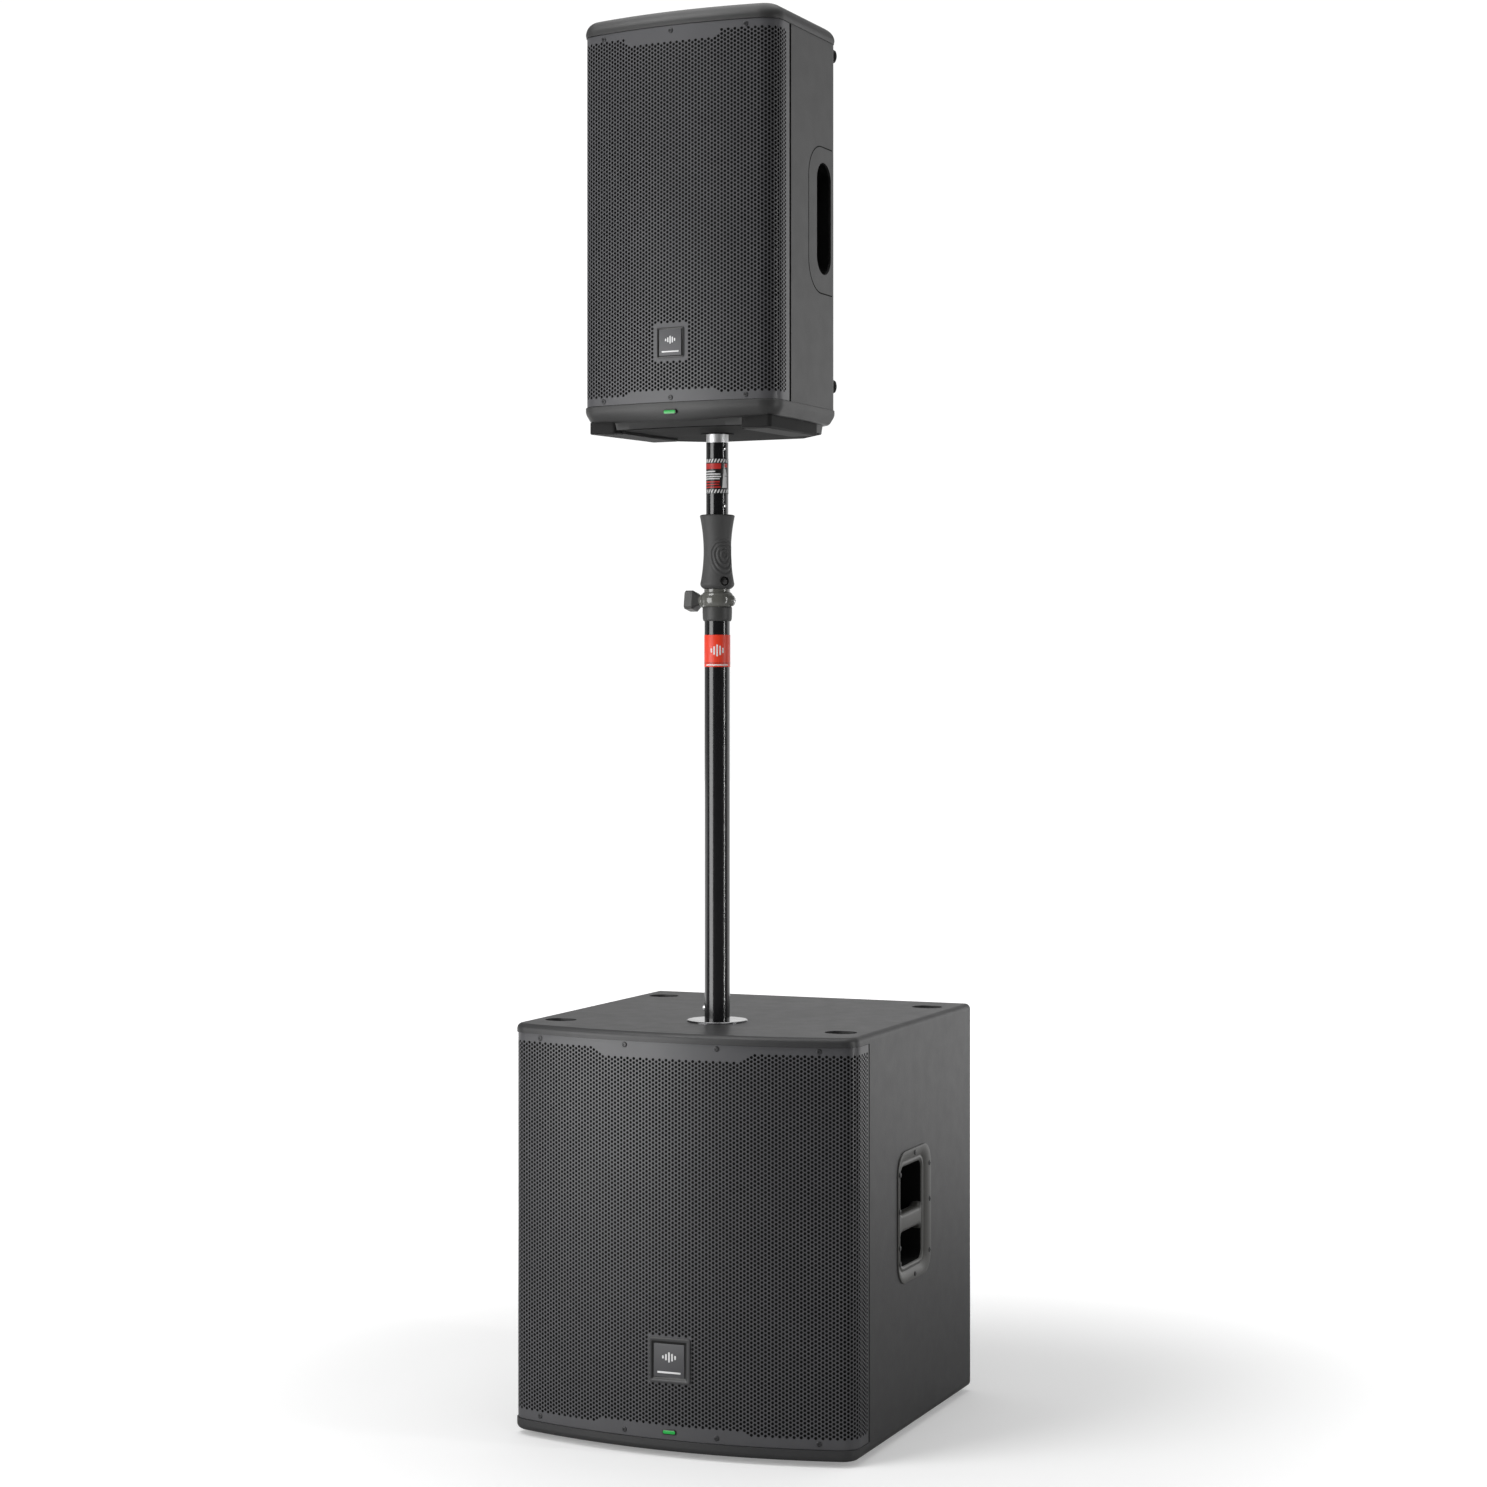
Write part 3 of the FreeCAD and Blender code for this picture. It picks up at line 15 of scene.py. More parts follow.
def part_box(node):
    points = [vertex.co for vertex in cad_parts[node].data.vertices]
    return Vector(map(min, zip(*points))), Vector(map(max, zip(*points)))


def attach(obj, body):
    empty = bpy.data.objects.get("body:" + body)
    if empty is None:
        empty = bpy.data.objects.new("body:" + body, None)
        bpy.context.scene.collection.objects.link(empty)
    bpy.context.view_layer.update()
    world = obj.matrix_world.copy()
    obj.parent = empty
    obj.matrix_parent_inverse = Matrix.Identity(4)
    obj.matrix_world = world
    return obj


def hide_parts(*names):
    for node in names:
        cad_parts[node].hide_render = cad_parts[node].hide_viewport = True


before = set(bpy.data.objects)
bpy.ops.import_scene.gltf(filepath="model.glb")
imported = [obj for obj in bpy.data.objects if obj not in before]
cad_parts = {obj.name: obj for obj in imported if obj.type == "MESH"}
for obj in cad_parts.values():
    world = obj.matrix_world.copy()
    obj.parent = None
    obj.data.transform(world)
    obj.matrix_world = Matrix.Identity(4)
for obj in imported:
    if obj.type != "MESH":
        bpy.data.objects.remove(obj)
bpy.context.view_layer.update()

MM = 0.001
HEAD_TURN = -5.5
pole_low, pole_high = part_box("pole_lower_tube")
POLE_Y = (pole_low.y + pole_high.y) / 2 / MM
SUB_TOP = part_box("sub_top_panel")[1].z / MM
HEAD_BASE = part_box("head_bottom_cap")[0].z / MM


def turned_by(degrees, axis):
    return Matrix.Rotation(math.radians(degrees), 4, axis)


SUB = Matrix()
HEAD = Matrix.Translation((0, POLE_Y, HEAD_BASE)) @ turned_by(HEAD_TURN, "Z")
POLE = Matrix.Translation((0, POLE_Y, SUB_TOP))


# Materials

def fill(tree, target, inputs):
    """Gives each named input a value, or links another node's output to it."""
    for key, value in inputs.items():
        if isinstance(value, bpy.types.NodeSocket):
            tree.links.new(value, target.inputs[key])
        else:
            target.inputs[key].default_value = value


def node(tree, kind, inputs, **settings):
    found = tree.nodes.new(kind)
    for key, value in settings.items():
        setattr(found, key, value)
    fill(tree, found, inputs)
    return found


def grey(level):
    return (level, level, level)


def scaled(colour, share):
    return tuple(channel * share for channel in colour)


def noise(tree, scale, detail=3, stretch=(1, 1, 1)):
    """A cloudy factor over the object's own coordinates, stretched."""
    place = node(tree, "ShaderNodeTexCoord", {}).outputs["Object"]
    place = node(tree, "ShaderNodeMapping", {"Vector": place, "Scale": stretch}).outputs["Vector"]
    inputs = {"Vector": place, "Scale": scale, "Detail": detail, "Roughness": 0.55}
    return node(tree, "ShaderNodeTexNoise", inputs).outputs["Fac"]


def cells(tree, scale):
    place = node(tree, "ShaderNodeTexCoord", {}).outputs["Object"]
    inputs = {"Vector": place, "Scale": scale}
    return node(tree, "ShaderNodeTexVoronoi", inputs, feature="SMOOTH_F1").outputs["Distance"]


def ranged(tree, value, low, high, start, end, kind="SMOOTHSTEP"):
    """The value carried from low..high to start..end."""
    inputs = {"Value": value, "From Min": low, "From Max": high, "To Min": start, "To Max": end}
    return node(tree, "ShaderNodeMapRange", inputs, interpolation_type=kind).outputs["Result"]


def mottled(tree, factor, low, high, start=0.0, end=1.0):
    """A colour from low to high as the factor rises."""
    found = node(tree, "ShaderNodeValToRGB", {"Fac": factor})
    for stop, colour, position in zip(found.color_ramp.elements, (low, high), (start, end)):
        stop.color, stop.position = (*colour, 1), position
    return found.outputs["Color"]


CLOUD_LOW, CLOUD_HIGH = 0.3, 0.7


def rough(tree, factor, middle, spread):
    ends = middle - spread, middle + spread
    return {"Roughness": ranged(tree, factor, CLOUD_LOW, CLOUD_HIGH, *ends, "LINEAR")}


def bumps(tree, heights):
    """Bumps from (height, strength, distance in millimetres), laid over each other."""
    below = {}
    for height, strength, distance in heights:
        inputs = {"Height": height, "Strength": strength, "Distance": distance * MM, **below}
        below = {"Normal": node(tree, "ShaderNodeBump", inputs).outputs["Normal"]}
    return below


def material(
    name, colour, roughness, detail, metallic=0.0, specular=0.5, coat=0.0, coat_roughness=0.1
):
    """A Principled material: plain values on its sockets, then what detail(tree) gives them."""
    made = bpy.data.materials.new(name)
    made.use_nodes = True
    tree = made.node_tree
    shader = tree.nodes["Principled BSDF"]
    fill(tree, shader, {
        "Base Color": (*colour, 1), "Roughness": roughness, "Metallic": metallic,
        "Specular IOR Level": specular, "Coat Weight": coat, "Coat Roughness": coat_roughness,
    })
    fill(tree, shader, detail(tree))
    return made


MOTTLE_SIZE, SHEEN_SIZE, SHEEN_SPREAD = 14, 35, 0.02
METAL_SHEEN_SIZE, METAL_GRAIN_SIZE = 220, 900


def coated(name, colour, roughness, grain_size, grain_height, spread=0.05, **extra):
    """Paint or moulded plastic with a fine grain and a faint mottle."""
    low, high = scaled(colour, 1 - spread), scaled(colour, 1 + spread)

    def detail(tree):
        cloud = noise(tree, MOTTLE_SIZE, 5)
        return {
            "Base Color": mottled(tree, cloud, low, high, CLOUD_LOW, CLOUD_HIGH),
            **rough(tree, noise(tree, SHEEN_SIZE), roughness, SHEEN_SPREAD),
            **bumps(tree, [
                (noise(tree, 1000 / grain_size, 2), 0.8, grain_height),
                (cells(tree, 600 / grain_size), 0.5, grain_height),
            ]),
        }

    return material(name, colour, roughness, detail, **extra)


def metal(name, colour, roughness, brushed=(1, 1, 1), depth=0.01):
    def detail(tree):
        return {
            **rough(
                tree, noise(tree, METAL_SHEEN_SIZE, 3, brushed), roughness, roughness * 0.3
            ),
            **bumps(tree, [(noise(tree, METAL_GRAIN_SIZE, 2, brushed), 0.4, depth)]),
        }

    return material(name, colour, roughness, detail, metallic=1.0)


def lit(name, colour, strength):
    """A light window with a cloudy glow."""
    def detail(tree):
        glow = mottled(tree, noise(tree, 260, 2), scaled(colour, 0.35), colour)
        return {"Emission Color": glow, "Emission Strength": strength}

    return material(name, scaled(colour, 0.4), 0.25, detail)


PAINT = coated("cabinet_paint_textured", (0.034, 0.034, 0.035), 0.42, 2.2, 0.14)
SHELL = coated("moulded_shell_grain", grey(0.034), 0.46, 1.2, 0.1)
GRILLE = coated("grille_powder_coat", (0.08, 0.08, 0.085), 0.36, 0.8, 0.04)
# black foam behind the grilles; also the painted shade on the grille's hole walls and on the liner
# behind the sheets
FOAM_AND_SHADE = coated("foam_black_and_painted_shade", grey(0.003), 0.95, 1.6, 0.5, specular=0.15)
HANDLE = coated("handle_moulding", (0.062, 0.061, 0.056), 0.36, 1.4, 0.1)
RUBBER = coated("black_rubber", grey(0.012), 0.7, 1.0, 0.06, specular=0.25)
GRIP = coated("grip_rubber_soft", grey(0.06), 0.6, 0.9, 0.08)
KNOB = coated("knob_plastic_grain", (0.09, 0.09, 0.088), 0.45, 1.0, 0.06)
SOCKET = coated("socket_black_plastic", grey(0.012), 0.35, 0.8, 0.03)
PLATE = coated("amplifier_plate_coat", (0.02, 0.02, 0.021), 0.42, 0.7, 0.05)
FINS = metal("heat_sink_alloy", grey(0.35), 0.4, (1, 1, 0.1))
STEEL = metal("bright_steel_turned", grey(0.6), 0.25, (1, 1, 6))
SATIN = metal("satin_steel_turned", (0.92, 0.92, 0.93), 0.46, (0.3, 0.3, 5), 0.006)
CHROME = metal("polished_chrome", (0.22, 0.22, 0.225), 0.16, (0.2, 0.2, 4), 0.003)
SCREW = metal("screw_blackened", grey(0.06), 0.42)
BOLT = coated("grille_bolt_coat", (0.032, 0.032, 0.034), 0.36, 0.8, 0.03)
GLOSS = coated(
    "pole_gloss_black", (0.007, 0.007, 0.008), 0.2, 3, 0.002, coat=0.35, coat_roughness=0.07
)
COLLAR = coated(
    "collar_gloss_plastic", (0.12, 0.12, 0.108), 0.22, 6, 0.01, coat=0.8, coat_roughness=0.05
)
SLEEVE = coated("collar_sleeve_plastic", (0.045, 0.045, 0.044), 0.5, 1.2, 0.05)
# black for the shade in recesses, grooves and under the speaker: painted shade, not a surface
# colour
PAINTED_SHADE = coated("painted_recess_shade", grey(0.004), 0.8, 1.4, 0.1, specular=0.1)
BAND = coated("band_orange", (0.86, 0.05, 0.018), 0.4, 6, 0.01)
WHITE = coated("print_white", grey(0.8), 0.5, 2, 0.01, spread=0.04)
LABEL_RED = coated("print_red", (0.62, 0.03, 0.025), 0.45, 2, 0.01, spread=0.06)
LABEL_BLACK = coated("print_black", grey(0.012), 0.35, 3, 0.01)
BADGE = coated("badge_frame_plastic", (0.05, 0.05, 0.052), 0.42, 0.9, 0.05)
BADGE_WELL_SHADE = coated("badge_well_painted_shade", grey(0.006), 0.35, 1.2, 0.02)
BADGE_PLATE = coated("badge_plate_grey", (0.075, 0.075, 0.08), 0.4, 0.7, 0.03)
CONE = coated("woofer_cone_paper", grey(0.03), 0.8, 1.2, 0.2)
MAGNET = coated("driver_black_metal", grey(0.02), 0.4, 2, 0.05)
GREEN = lit("status_light_green", (0.02, 0.5, 0.08), 0.6)


# Mesh helpers

def shifted(points, matrix):
    """The points under the matrix."""
    held = np.array(matrix)
    return np.asarray(points, float) @ held[:3, :3].T + held[:3, 3]


class Shape:
    """Several closed shells gathered into one mesh, each with its own material mark."""

    def __init__(self):
        self.points = []
        self.faces = []
        self.marks = []
        self.count = 0

    def add(self, part, mark=0, matrix=SUB):
        """Adds a part; mark is one material number, or one for each face."""
        points, faces = part
        self.points.append(shifted(points, matrix))
        self.faces += [[index + self.count for index in face] for face in faces]
        self.marks += [mark] * len(faces) if isinstance(mark, int) else mark
        self.count += len(points)
        return self


def build(name, shape, materials, body, replaces=(), stand=SUB, sharp=38, outward=True):
    """The object of one piece, riding on its body."""
    mesh = bpy.data.meshes.new(name)
    points = shifted(np.concatenate(shape.points), stand)
    mesh.from_pydata((points * MM).tolist(), [], shape.faces)
    for made in materials:
        mesh.materials.append(made)
    mesh.polygons.foreach_set("material_index", shape.marks)
    mesh.polygons.foreach_set("use_smooth", [True] * len(mesh.polygons))
    if outward:
        work = bmesh.new()
        work.from_mesh(mesh)
        bmesh.ops.recalc_face_normals(work, faces=work.faces)
        work.to_mesh(mesh)
        work.free()
    mesh.set_sharp_from_angle(angle=math.radians(sharp))
    made = bpy.data.objects.new(name, mesh)
    bpy.context.scene.collection.objects.link(made)
    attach(made, body)
    if replaces:
        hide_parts(*replaces)


def stack(rings, first=True, last=True, looped=False):
    """Skin through rings of the same number of points, closed at the ends or round on itself."""
    count = len(rings[0])
    faces = []
    for level in range(len(rings) if looped else len(rings) - 1):
        low = level * count
        high = (level + 1) % len(rings) * count
        for index in range(count):
            after = (index + 1) % count
            faces.append([low + index, low + after, high + after, high + index])
    if first and not looped:
        faces.append(list(range(count))[::-1])
    if last and not looped:
        top = (len(rings) - 1) * count
        faces.append(list(range(top, top + count)))
    return np.concatenate([np.asarray(ring, float) for ring in rings]), faces


def lathe(profile, segments=96, bend=None):
    """A closed surface turned about Z from (radius, height) points that run round the section."""
    angles = np.linspace(0, 2 * math.pi, segments, endpoint=False)
    points, rows, faces = [], [], []
    for radius, height in profile:
        around = angles if radius > 1e-6 else angles[:1]
        rows.append([len(points) + k % len(around) for k in range(segments)])
        for angle in around:
            grown = radius + (bend(angle, height, radius) if bend else 0)
            points.append((grown * math.cos(angle), grown * math.sin(angle), height))
    for here, there in zip(rows, rows[1:] + rows[:1]):
        for k in range(segments):
            after = (k + 1) % segments
            face = list(dict.fromkeys((here[k], here[after], there[after], there[k])))
            if len(face) > 2:
                faces.append(face)
    return points, faces


def circle(radius, z=0.0, count=48):
    """Points round the Z axis; the radius may depend on the angle."""
    found = []
    for k in range(count):
        angle = 2 * math.pi * k / count
        size = radius(angle) if callable(radius) else radius
        found.append((size * math.cos(angle), size * math.sin(angle), z))
    return found


def rounded_ring(width, height, radius, z=0.0, centre=(0, 0), per_corner=8):
    """A rectangle with round corners, as points in the XY plane at height z."""
    radius = max(min(radius, width / 2 - 1e-3, height / 2 - 1e-3), 1e-3)
    points = []
    for quarter, (sx, sy) in enumerate(((1, 1), (-1, 1), (-1, -1), (1, -1))):
        x = centre[0] + sx * (width / 2 - radius)
        y = centre[1] + sy * (height / 2 - radius)
        for step in range(per_corner + 1):
            angle = math.pi / 2 * (quarter + step / per_corner)
            points.append((x + radius * math.cos(angle), y + radius * math.sin(angle), z))
    return points


def nested(width, height, levels, centre=(0, 0)):
    """Rings of one rounded rectangle, from (growth on every side, corner radius, z) levels."""
    return [
        rounded_ring(width + 2 * grown, height + 2 * grown, corner, z, centre)
        for grown, corner, z in levels
    ]


def slab(width, height, radius, levels, centre=(0, 0)):
    """Rings of one rounded rectangle at (inset, z) levels, skinned and closed."""
    found = [(-inset, radius - inset, z) for inset, z in levels]
    return stack(nested(width, height, found, centre))


def eased(radius, low, high, steps=4):
    """Levels of a slab from low to high with its upper edge rounded."""
    levels = [(0, low)]
    for step in range(steps + 1):
        angle = math.pi / 2 * step / steps
        levels.append((radius * (1 - math.cos(angle)), high - radius * (1 - math.sin(angle))))
    return levels


FACE_FRONT = turned_by(90, "X")
FACE_BACK = turned_by(180, "Z") @ FACE_FRONT


def moved(x, y, z, turn=SUB):
    return Matrix.Translation((x, y, z)) @ turn


# Perforated grilles

def unit(angles):
    return np.stack((np.cos(angles), np.sin(angles)), 1)


def bow_radius(half, bow):
    return (half * half + bow * bow) / (2 * bow)


class GrilleLine:
    """The outer line of a grille in plan, by length along it from its middle."""

    def __init__(self, half, bow, front, corner, rear_half, rear):
        radius = bow_radius(half, bow)
        bow_centre = np.array((0.0, front - bow + radius))
        start, end = np.array((half, front), float), np.array((rear_half, rear), float)
        along = (end - start) / np.linalg.norm(end - start)
        inward = np.array((-along[1], along[0]))
        base = start + inward * corner
        # the corner's centre is one corner radius inside both the bow and the return
        offset = base - bow_centre
        reach = radius - corner
        linear = offset @ along
        travel = -linear + np.array((-1, 1)) * math.sqrt(linear**2 - offset @ offset + reach**2)
        centre = base + along * travel[np.argmin(np.abs(travel))]
        first = bow_centre + (centre - bow_centre) / reach * radius
        second = centre - inward * corner
        turn_end = math.atan2(first[1] - bow_centre[1], first[0] - bow_centre[0])
        bow_out = unit(np.linspace(-math.pi / 2, turn_end, 900))
        corner_out = unit(np.linspace(turn_end, math.atan2(-inward[1], -inward[0]), 240)[1:])
        steps = np.linspace(0, 1, 240)[1:, None]
        self.points = np.concatenate((
            bow_centre + radius * bow_out,
            centre + corner * corner_out,
            second + (end - second) * steps,
        ))
        straight_out = np.repeat(-inward[None, :], len(steps), 0)
        self.normals = np.concatenate((bow_out, corner_out, straight_out))
        gaps = np.linalg.norm(np.diff(self.points, axis=0), axis=1)
        self.lengths = np.concatenate([[0], np.cumsum(gaps)])
        self.length = self.lengths[-1]

    def at(self, s, depth=0.0):
        """Points at length s, that deep inside the line."""
        size, side = np.abs(s), np.where(np.asarray(s) < 0, -1.0, 1.0)
        x, y = (
            np.interp(size, self.lengths, self.points[:, axis])
            - depth * np.interp(size, self.lengths, self.normals[:, axis])
            for axis in (0, 1)
        )
        return side * x, y

    def ring_at(self, s, depth, z):
        x, y = self.at(s, depth)
        return np.stack((x, y, z), 1)


def clipped(polygon, axis, limit, sign):
    """The part of a convex polygon on one side of a line along an axis."""
    kept = []
    for index, here in enumerate(polygon):
        there = polygon[(index + 1) % len(polygon)]
        inside = sign * (here[axis] - limit) <= 1e-9
        if inside:
            kept.append(here)
        if inside != (sign * (there[axis] - limit) <= 1e-9):
            share = (limit - here[axis]) / (there[axis] - here[axis])
            kept.append(tuple(h + (t - h) * share for h, t in zip(here, there)))
    return kept


SHEET_THICK, HOLE, HOLE_SIDES = 1.0, 4.6, 12
STEP_WIDTH = 10


def perforated(name, line, low, high, has_hole, body, replaces, stand, parts, pitch):
    """A perforated sheet along the line, in pieces that share one staggered pattern."""
    column = pitch * math.sqrt(3) / 2
    middle = (low + high) / 2
    reach = int(line.length / column) + 2
    rows = int((high - low) / 2 / pitch) + 2
    corners = circle(pitch / math.sqrt(3), 0, 6)
    hole = circle(HOLE / 2, 0, HOLE_SIDES)
    end = line.length
    limits = (0, end, 1), (0, -end, -1), (1, high, 1), (1, low, -1)
    bounds = [round(-reach + (2 * reach + 1) * part / parts) for part in range(parts + 1)]
    for part in range(parts):
        index_of, flat, faces = {}, [], []

        def corner_index(point):
            key = (round(point[0], 3), round(point[1], 3))
            if key not in index_of:
                index_of[key] = len(flat)
                flat.append(point)
            return index_of[key]

        for i in range(bounds[part], bounds[part + 1]):
            s = i * column
            for j in range(-rows, rows + 1):
                z = middle + (j + (i % 2) / 2) * pitch
                ring = [(s + a, z + b) for a, b, _ in corners]
                inside = all(abs(p[0]) <= end and low <= p[1] <= high for p in ring)
                if inside and has_hole(s, z):
                    outer = [corner_index(p) for p in ring]
                    inner = list(range(len(flat), len(flat) + HOLE_SIDES))
                    flat.extend((s + a, z + b) for a, b, _ in hole)
                    for k in range(6):
                        after = (k + 1) % 6
                        rim = inner[2 * k], outer[k], outer[after], inner[2 * after]
                        faces.append([*rim, inner[2 * k + 1]])
                    continue
                for axis, limit, sign in limits:
                    ring = clipped(ring, axis, limit, sign) if ring else ring
                indices = list(dict.fromkeys(corner_index(p) for p in ring))
                if len(indices) > 2:
                    faces.append(indices)
        flat = np.array(flat)
        count = len(flat)
        used = dict.fromkeys(pair for face in faces for pair in zip(face, face[1:] + face[:1]))
        back = [[index + count for index in reversed(face)] for face in faces]
        shade_walls = [[b, a, a + count, b + count] for a, b in used if (b, a) not in used]
        points = [line.ring_at(flat[:, 0], depth, flat[:, 1]) for depth in (0.0, SHEET_THICK)]
        # the hole walls take the black foam material: painted shade, as the real walls carry the
        # grille's coat
        marks = [0] * (len(faces) + len(back)) + [1] * len(shade_walls)
        shape = Shape().add((np.concatenate(points), faces + back + shade_walls), marks)
        build(
            f"{name}_{part + 1}", shape, [GRILLE, FOAM_AND_SHADE], body, replaces, stand,
            outward=False,
        )


def sheet_along(line, low, high, depth, thick, limit, spread=4.0):
    """A closed thin sheet that follows the line at a depth behind it."""
    s = np.linspace(-limit, limit, int(2 * limit / spread))
    back = depth + thick
    sides = [
        line.ring_at(s, deep, np.full(len(s), z))
        for z, deep in ((low, depth), (low, back), (high, back), (high, depth))
    ]
    return stack(np.stack(sides, 1))


def stepped_field(middle_half, middle_levels, side_levels, edge, badge_z, badge_gap):
    """A test for holes: the field is lower at its middle, and stays clear of the badge."""

    def has_hole(s, z):
        share = min(max((abs(s) - middle_half) / STEP_WIDTH, 0), 1)
        low, high = (m + (n - m) * share for m, n in zip(middle_levels, side_levels))
        if not (low <= z <= high and abs(s) <= edge):
            return False
        return not (abs(s) < badge_gap / 2 and abs(z - badge_z) < badge_gap / 2)

    return has_hole


SUB_BOW, HEAD_BOW = (283.5, 44, -252), (170.5, 20, -130)
sub_line = GrilleLine(*SUB_BOW, 28, 283.5, -196)
head_line = GrilleLine(*HEAD_BOW, 31, 167.37, -79.5)
SUB_BADGE_Z, HEAD_BADGE_Z = 146, 129
perforated(
    "sub_grille_sheet", sub_line, 26.5, 625.5,
    stepped_field(118, (49, 602), (43, 613), sub_line.length - 6, SUB_BADGE_Z, 72),
    "root", ["sub_grille"], SUB, 4, 6.28,
)
perforated(
    "head_grille_sheet", head_line, 38.5, 611.5,
    stepped_field(76, (57, 587), (50, 598), head_line.length - 12, HEAD_BADGE_Z, 60),
    "speaker_head", ["head_grille"], HEAD, 3, 6.2,
)
# a thin black liner just behind each grille sheet: painted shade, so the holes show black
SHADE_LINER_DEPTH, SHADE_LINER_THICK = 1.1, 0.2
for name, line, low, high, body, stand in (
    ("sub_grille_shade_liner", sub_line, 27, 625, "root", SUB),
    ("head_grille_shade_liner", head_line, 39, 611, "speaker_head", HEAD),
):
    shade_liner = Shape().add(sheet_along(line, low, high, SHADE_LINER_DEPTH, SHADE_LINER_THICK, line.length - 2))
    build(name, shade_liner, [FOAM_AND_SHADE], body, (), stand)


# Caps of the speaker on the pole, and the details on its sides

CAP_HALF, CAP_FRONT, CAP_BACK, CAP_BACK_HALF = 172.5, -132, 96, 158.5
CAP_REAR, CAP_REAR_HALF = 162, 88
SIDE_END = 52
cap_side = CAP_HALF - (CAP_HALF - CAP_BACK_HALF) * (SIDE_END - CAP_FRONT) / (CAP_BACK - CAP_FRONT)
cap_line = GrilleLine(CAP_HALF, 20, CAP_FRONT, 33, cap_side, SIDE_END)


def inset_line(start, end, inset):
    """A line of the outline moved inwards: a point on it and its direction."""
    along = (Vector(end) - Vector(start)).normalized()
    return Vector(start) + Vector((-along.y, along.x)) * inset, along


def crossing(one, other):
    (start, along), (base, across) = one, other
    gap = base - start
    return start + along * (gap.cross(across) / along.cross(across))


def rounded_corner(before, here, after, radius, steps=9):
    """Points of the arc that rounds the corner at here."""
    back, ahead = (before - here).normalized(), (after - here).normalized()
    half = math.acos(max(-1, min(1, back.dot(ahead)))) / 2
    start = here + back * (radius / math.tan(half))
    centre = here + (back + ahead).normalized() * (radius / math.sin(half))
    first = (start - centre).normalized()
    points = []
    for step in range(steps):
        angle = (math.pi - 2 * half) * step / (steps - 1)
        points.append(centre + radius * (Matrix.Rotation(angle, 2) @ first))
    return points


def cap_outline(inset, height, corner):
    """The caps' outline at an inset; inset and height may depend on the place round it."""
    s = np.linspace(0, cap_line.length, 96)
    x, y = cap_line.at(s, 0.0)
    depth = [inset(a, b) for a, b in zip(x, y)]
    x, y = cap_line.at(s, np.array(depth))
    half = [Vector((a, b)) for a, b in zip(x, y)]
    deep = inset(CAP_BACK_HALF, CAP_BACK)
    corners = [
        (cap_side, SIDE_END), (CAP_BACK_HALF, CAP_BACK), (CAP_REAR_HALF, CAP_REAR), (0, CAP_REAR)
    ]
    side, facet, rear = (inset_line(a, b, deep) for a, b in zip(corners, corners[1:]))
    first, second = crossing(side, facet), crossing(facet, rear)
    half += rounded_corner(half[-1], first, second, corner)
    half += rounded_corner(first, second, Vector((0, second.y)), corner)
    other = [Vector((-p.x, p.y)) for p in reversed(half[1:])]
    return [(p.x, p.y, height(p.x, p.y)) for p in half + other]


def even(value):
    return lambda x, y: value


CAP_BOTTOM, CAP_TOP, CAP_ROUND = 612.1, 637, 20
top_rings = [
    cap_outline(even(5), even(CAP_BOTTOM), 12), cap_outline(even(0.9), even(CAP_BOTTOM), 14)
]
for step in range(13):
    angle = math.pi / 2 * step / 12
    deep = CAP_ROUND * (1 - math.cos(angle))
    rise = CAP_TOP - CAP_ROUND * (1 - math.sin(angle))
    top_rings.append(cap_outline(even(deep), even(rise), 14 + 2.0 * deep))
build(
    "head_top_cap_moulding", Shape().add(stack(top_rings)), [SHELL], "speaker_head",
    ["head_top_cap"], HEAD, sharp=30,
)


LIP_SPREAD, LIP_END = 95, -60


def front_share(x, y):
    """1 at the middle of the front, falling to 0 towards its corners."""
    return math.exp(-((x / LIP_SPREAD) ** 2)) if y < LIP_END else 0.0


def sunk(edge, middle):
    return lambda x, y: edge + (middle - edge) * front_share(x, y)


def hole_ring(points, radius, z):
    """A ring round the pole's axis with one point for each of the given ones."""
    sizes = [radius / math.hypot(x, y) for x, y, _ in points]
    return [(size * p[0], size * p[1], z) for p, size in zip(points, sizes)]


bottom_rings = [
    cap_outline(inset, height, corner)
    for inset, height, corner in (
        (even(5), even(37.9), 12), (even(0.9), even(37.9), 14), (even(0), even(37), 14),
        (even(0), even(31), 14), (even(0.5), even(28.5), 14), (even(1.6), sunk(25.5, 24), 14),
        (even(6.6), sunk(17, 13), 14), (even(8.4), sunk(15.3, 10.6), 13),
        (even(9.8), sunk(14.6, 9.6), 12), (sunk(16.5, 10.6), sunk(14.3, 9.0), 9),
        (sunk(18, 11.4), sunk(12.8, 8.2), 8), (sunk(19.6, 17), even(1.2), 7),
        (sunk(20.6, 18.4), even(0.2), 6),
    )
]
ring_base = bottom_rings[-1]
bottom_rings += [hole_ring(ring_base, 26, 0.2), hole_ring(ring_base, 26, 4)]
bottom_rings += [cap_outline(even(26), even(4), 4), cap_outline(even(9), even(34), 8)]
around = len(ring_base)
# rings past the first eleven, on the underside, take the painted shade: black for the shade under
# the cabinet
LIT_RINGS = 11
bottom_shade_marks = [0] * (LIT_RINGS * around) + [1] * ((len(bottom_rings) - LIT_RINGS) * around)
build(
    "head_bottom_cap_moulding", Shape().add(stack(bottom_rings, looped=True), bottom_shade_marks),
    [SHELL, PAINTED_SHADE], "speaker_head", ["head_bottom_cap"], HEAD, sharp=30,
)
blocks = Shape()
block = slab(50, 184, 7, [(1.5, -3.7), (0, -2.6), (0, 14.5)])
for side in (-1, 1):
    blocks.add(block, 0, moved(side * 128.5, -36, 0, turned_by(3.5 * side, "Z")))
build("head_foot_blocks", blocks, [RUBBER], "speaker_head", (), HEAD)


SHELL_HALF, SHELL_FRONT, SHELL_TAPER, SHELL_DEEP = 170.5, -130, 14, 226


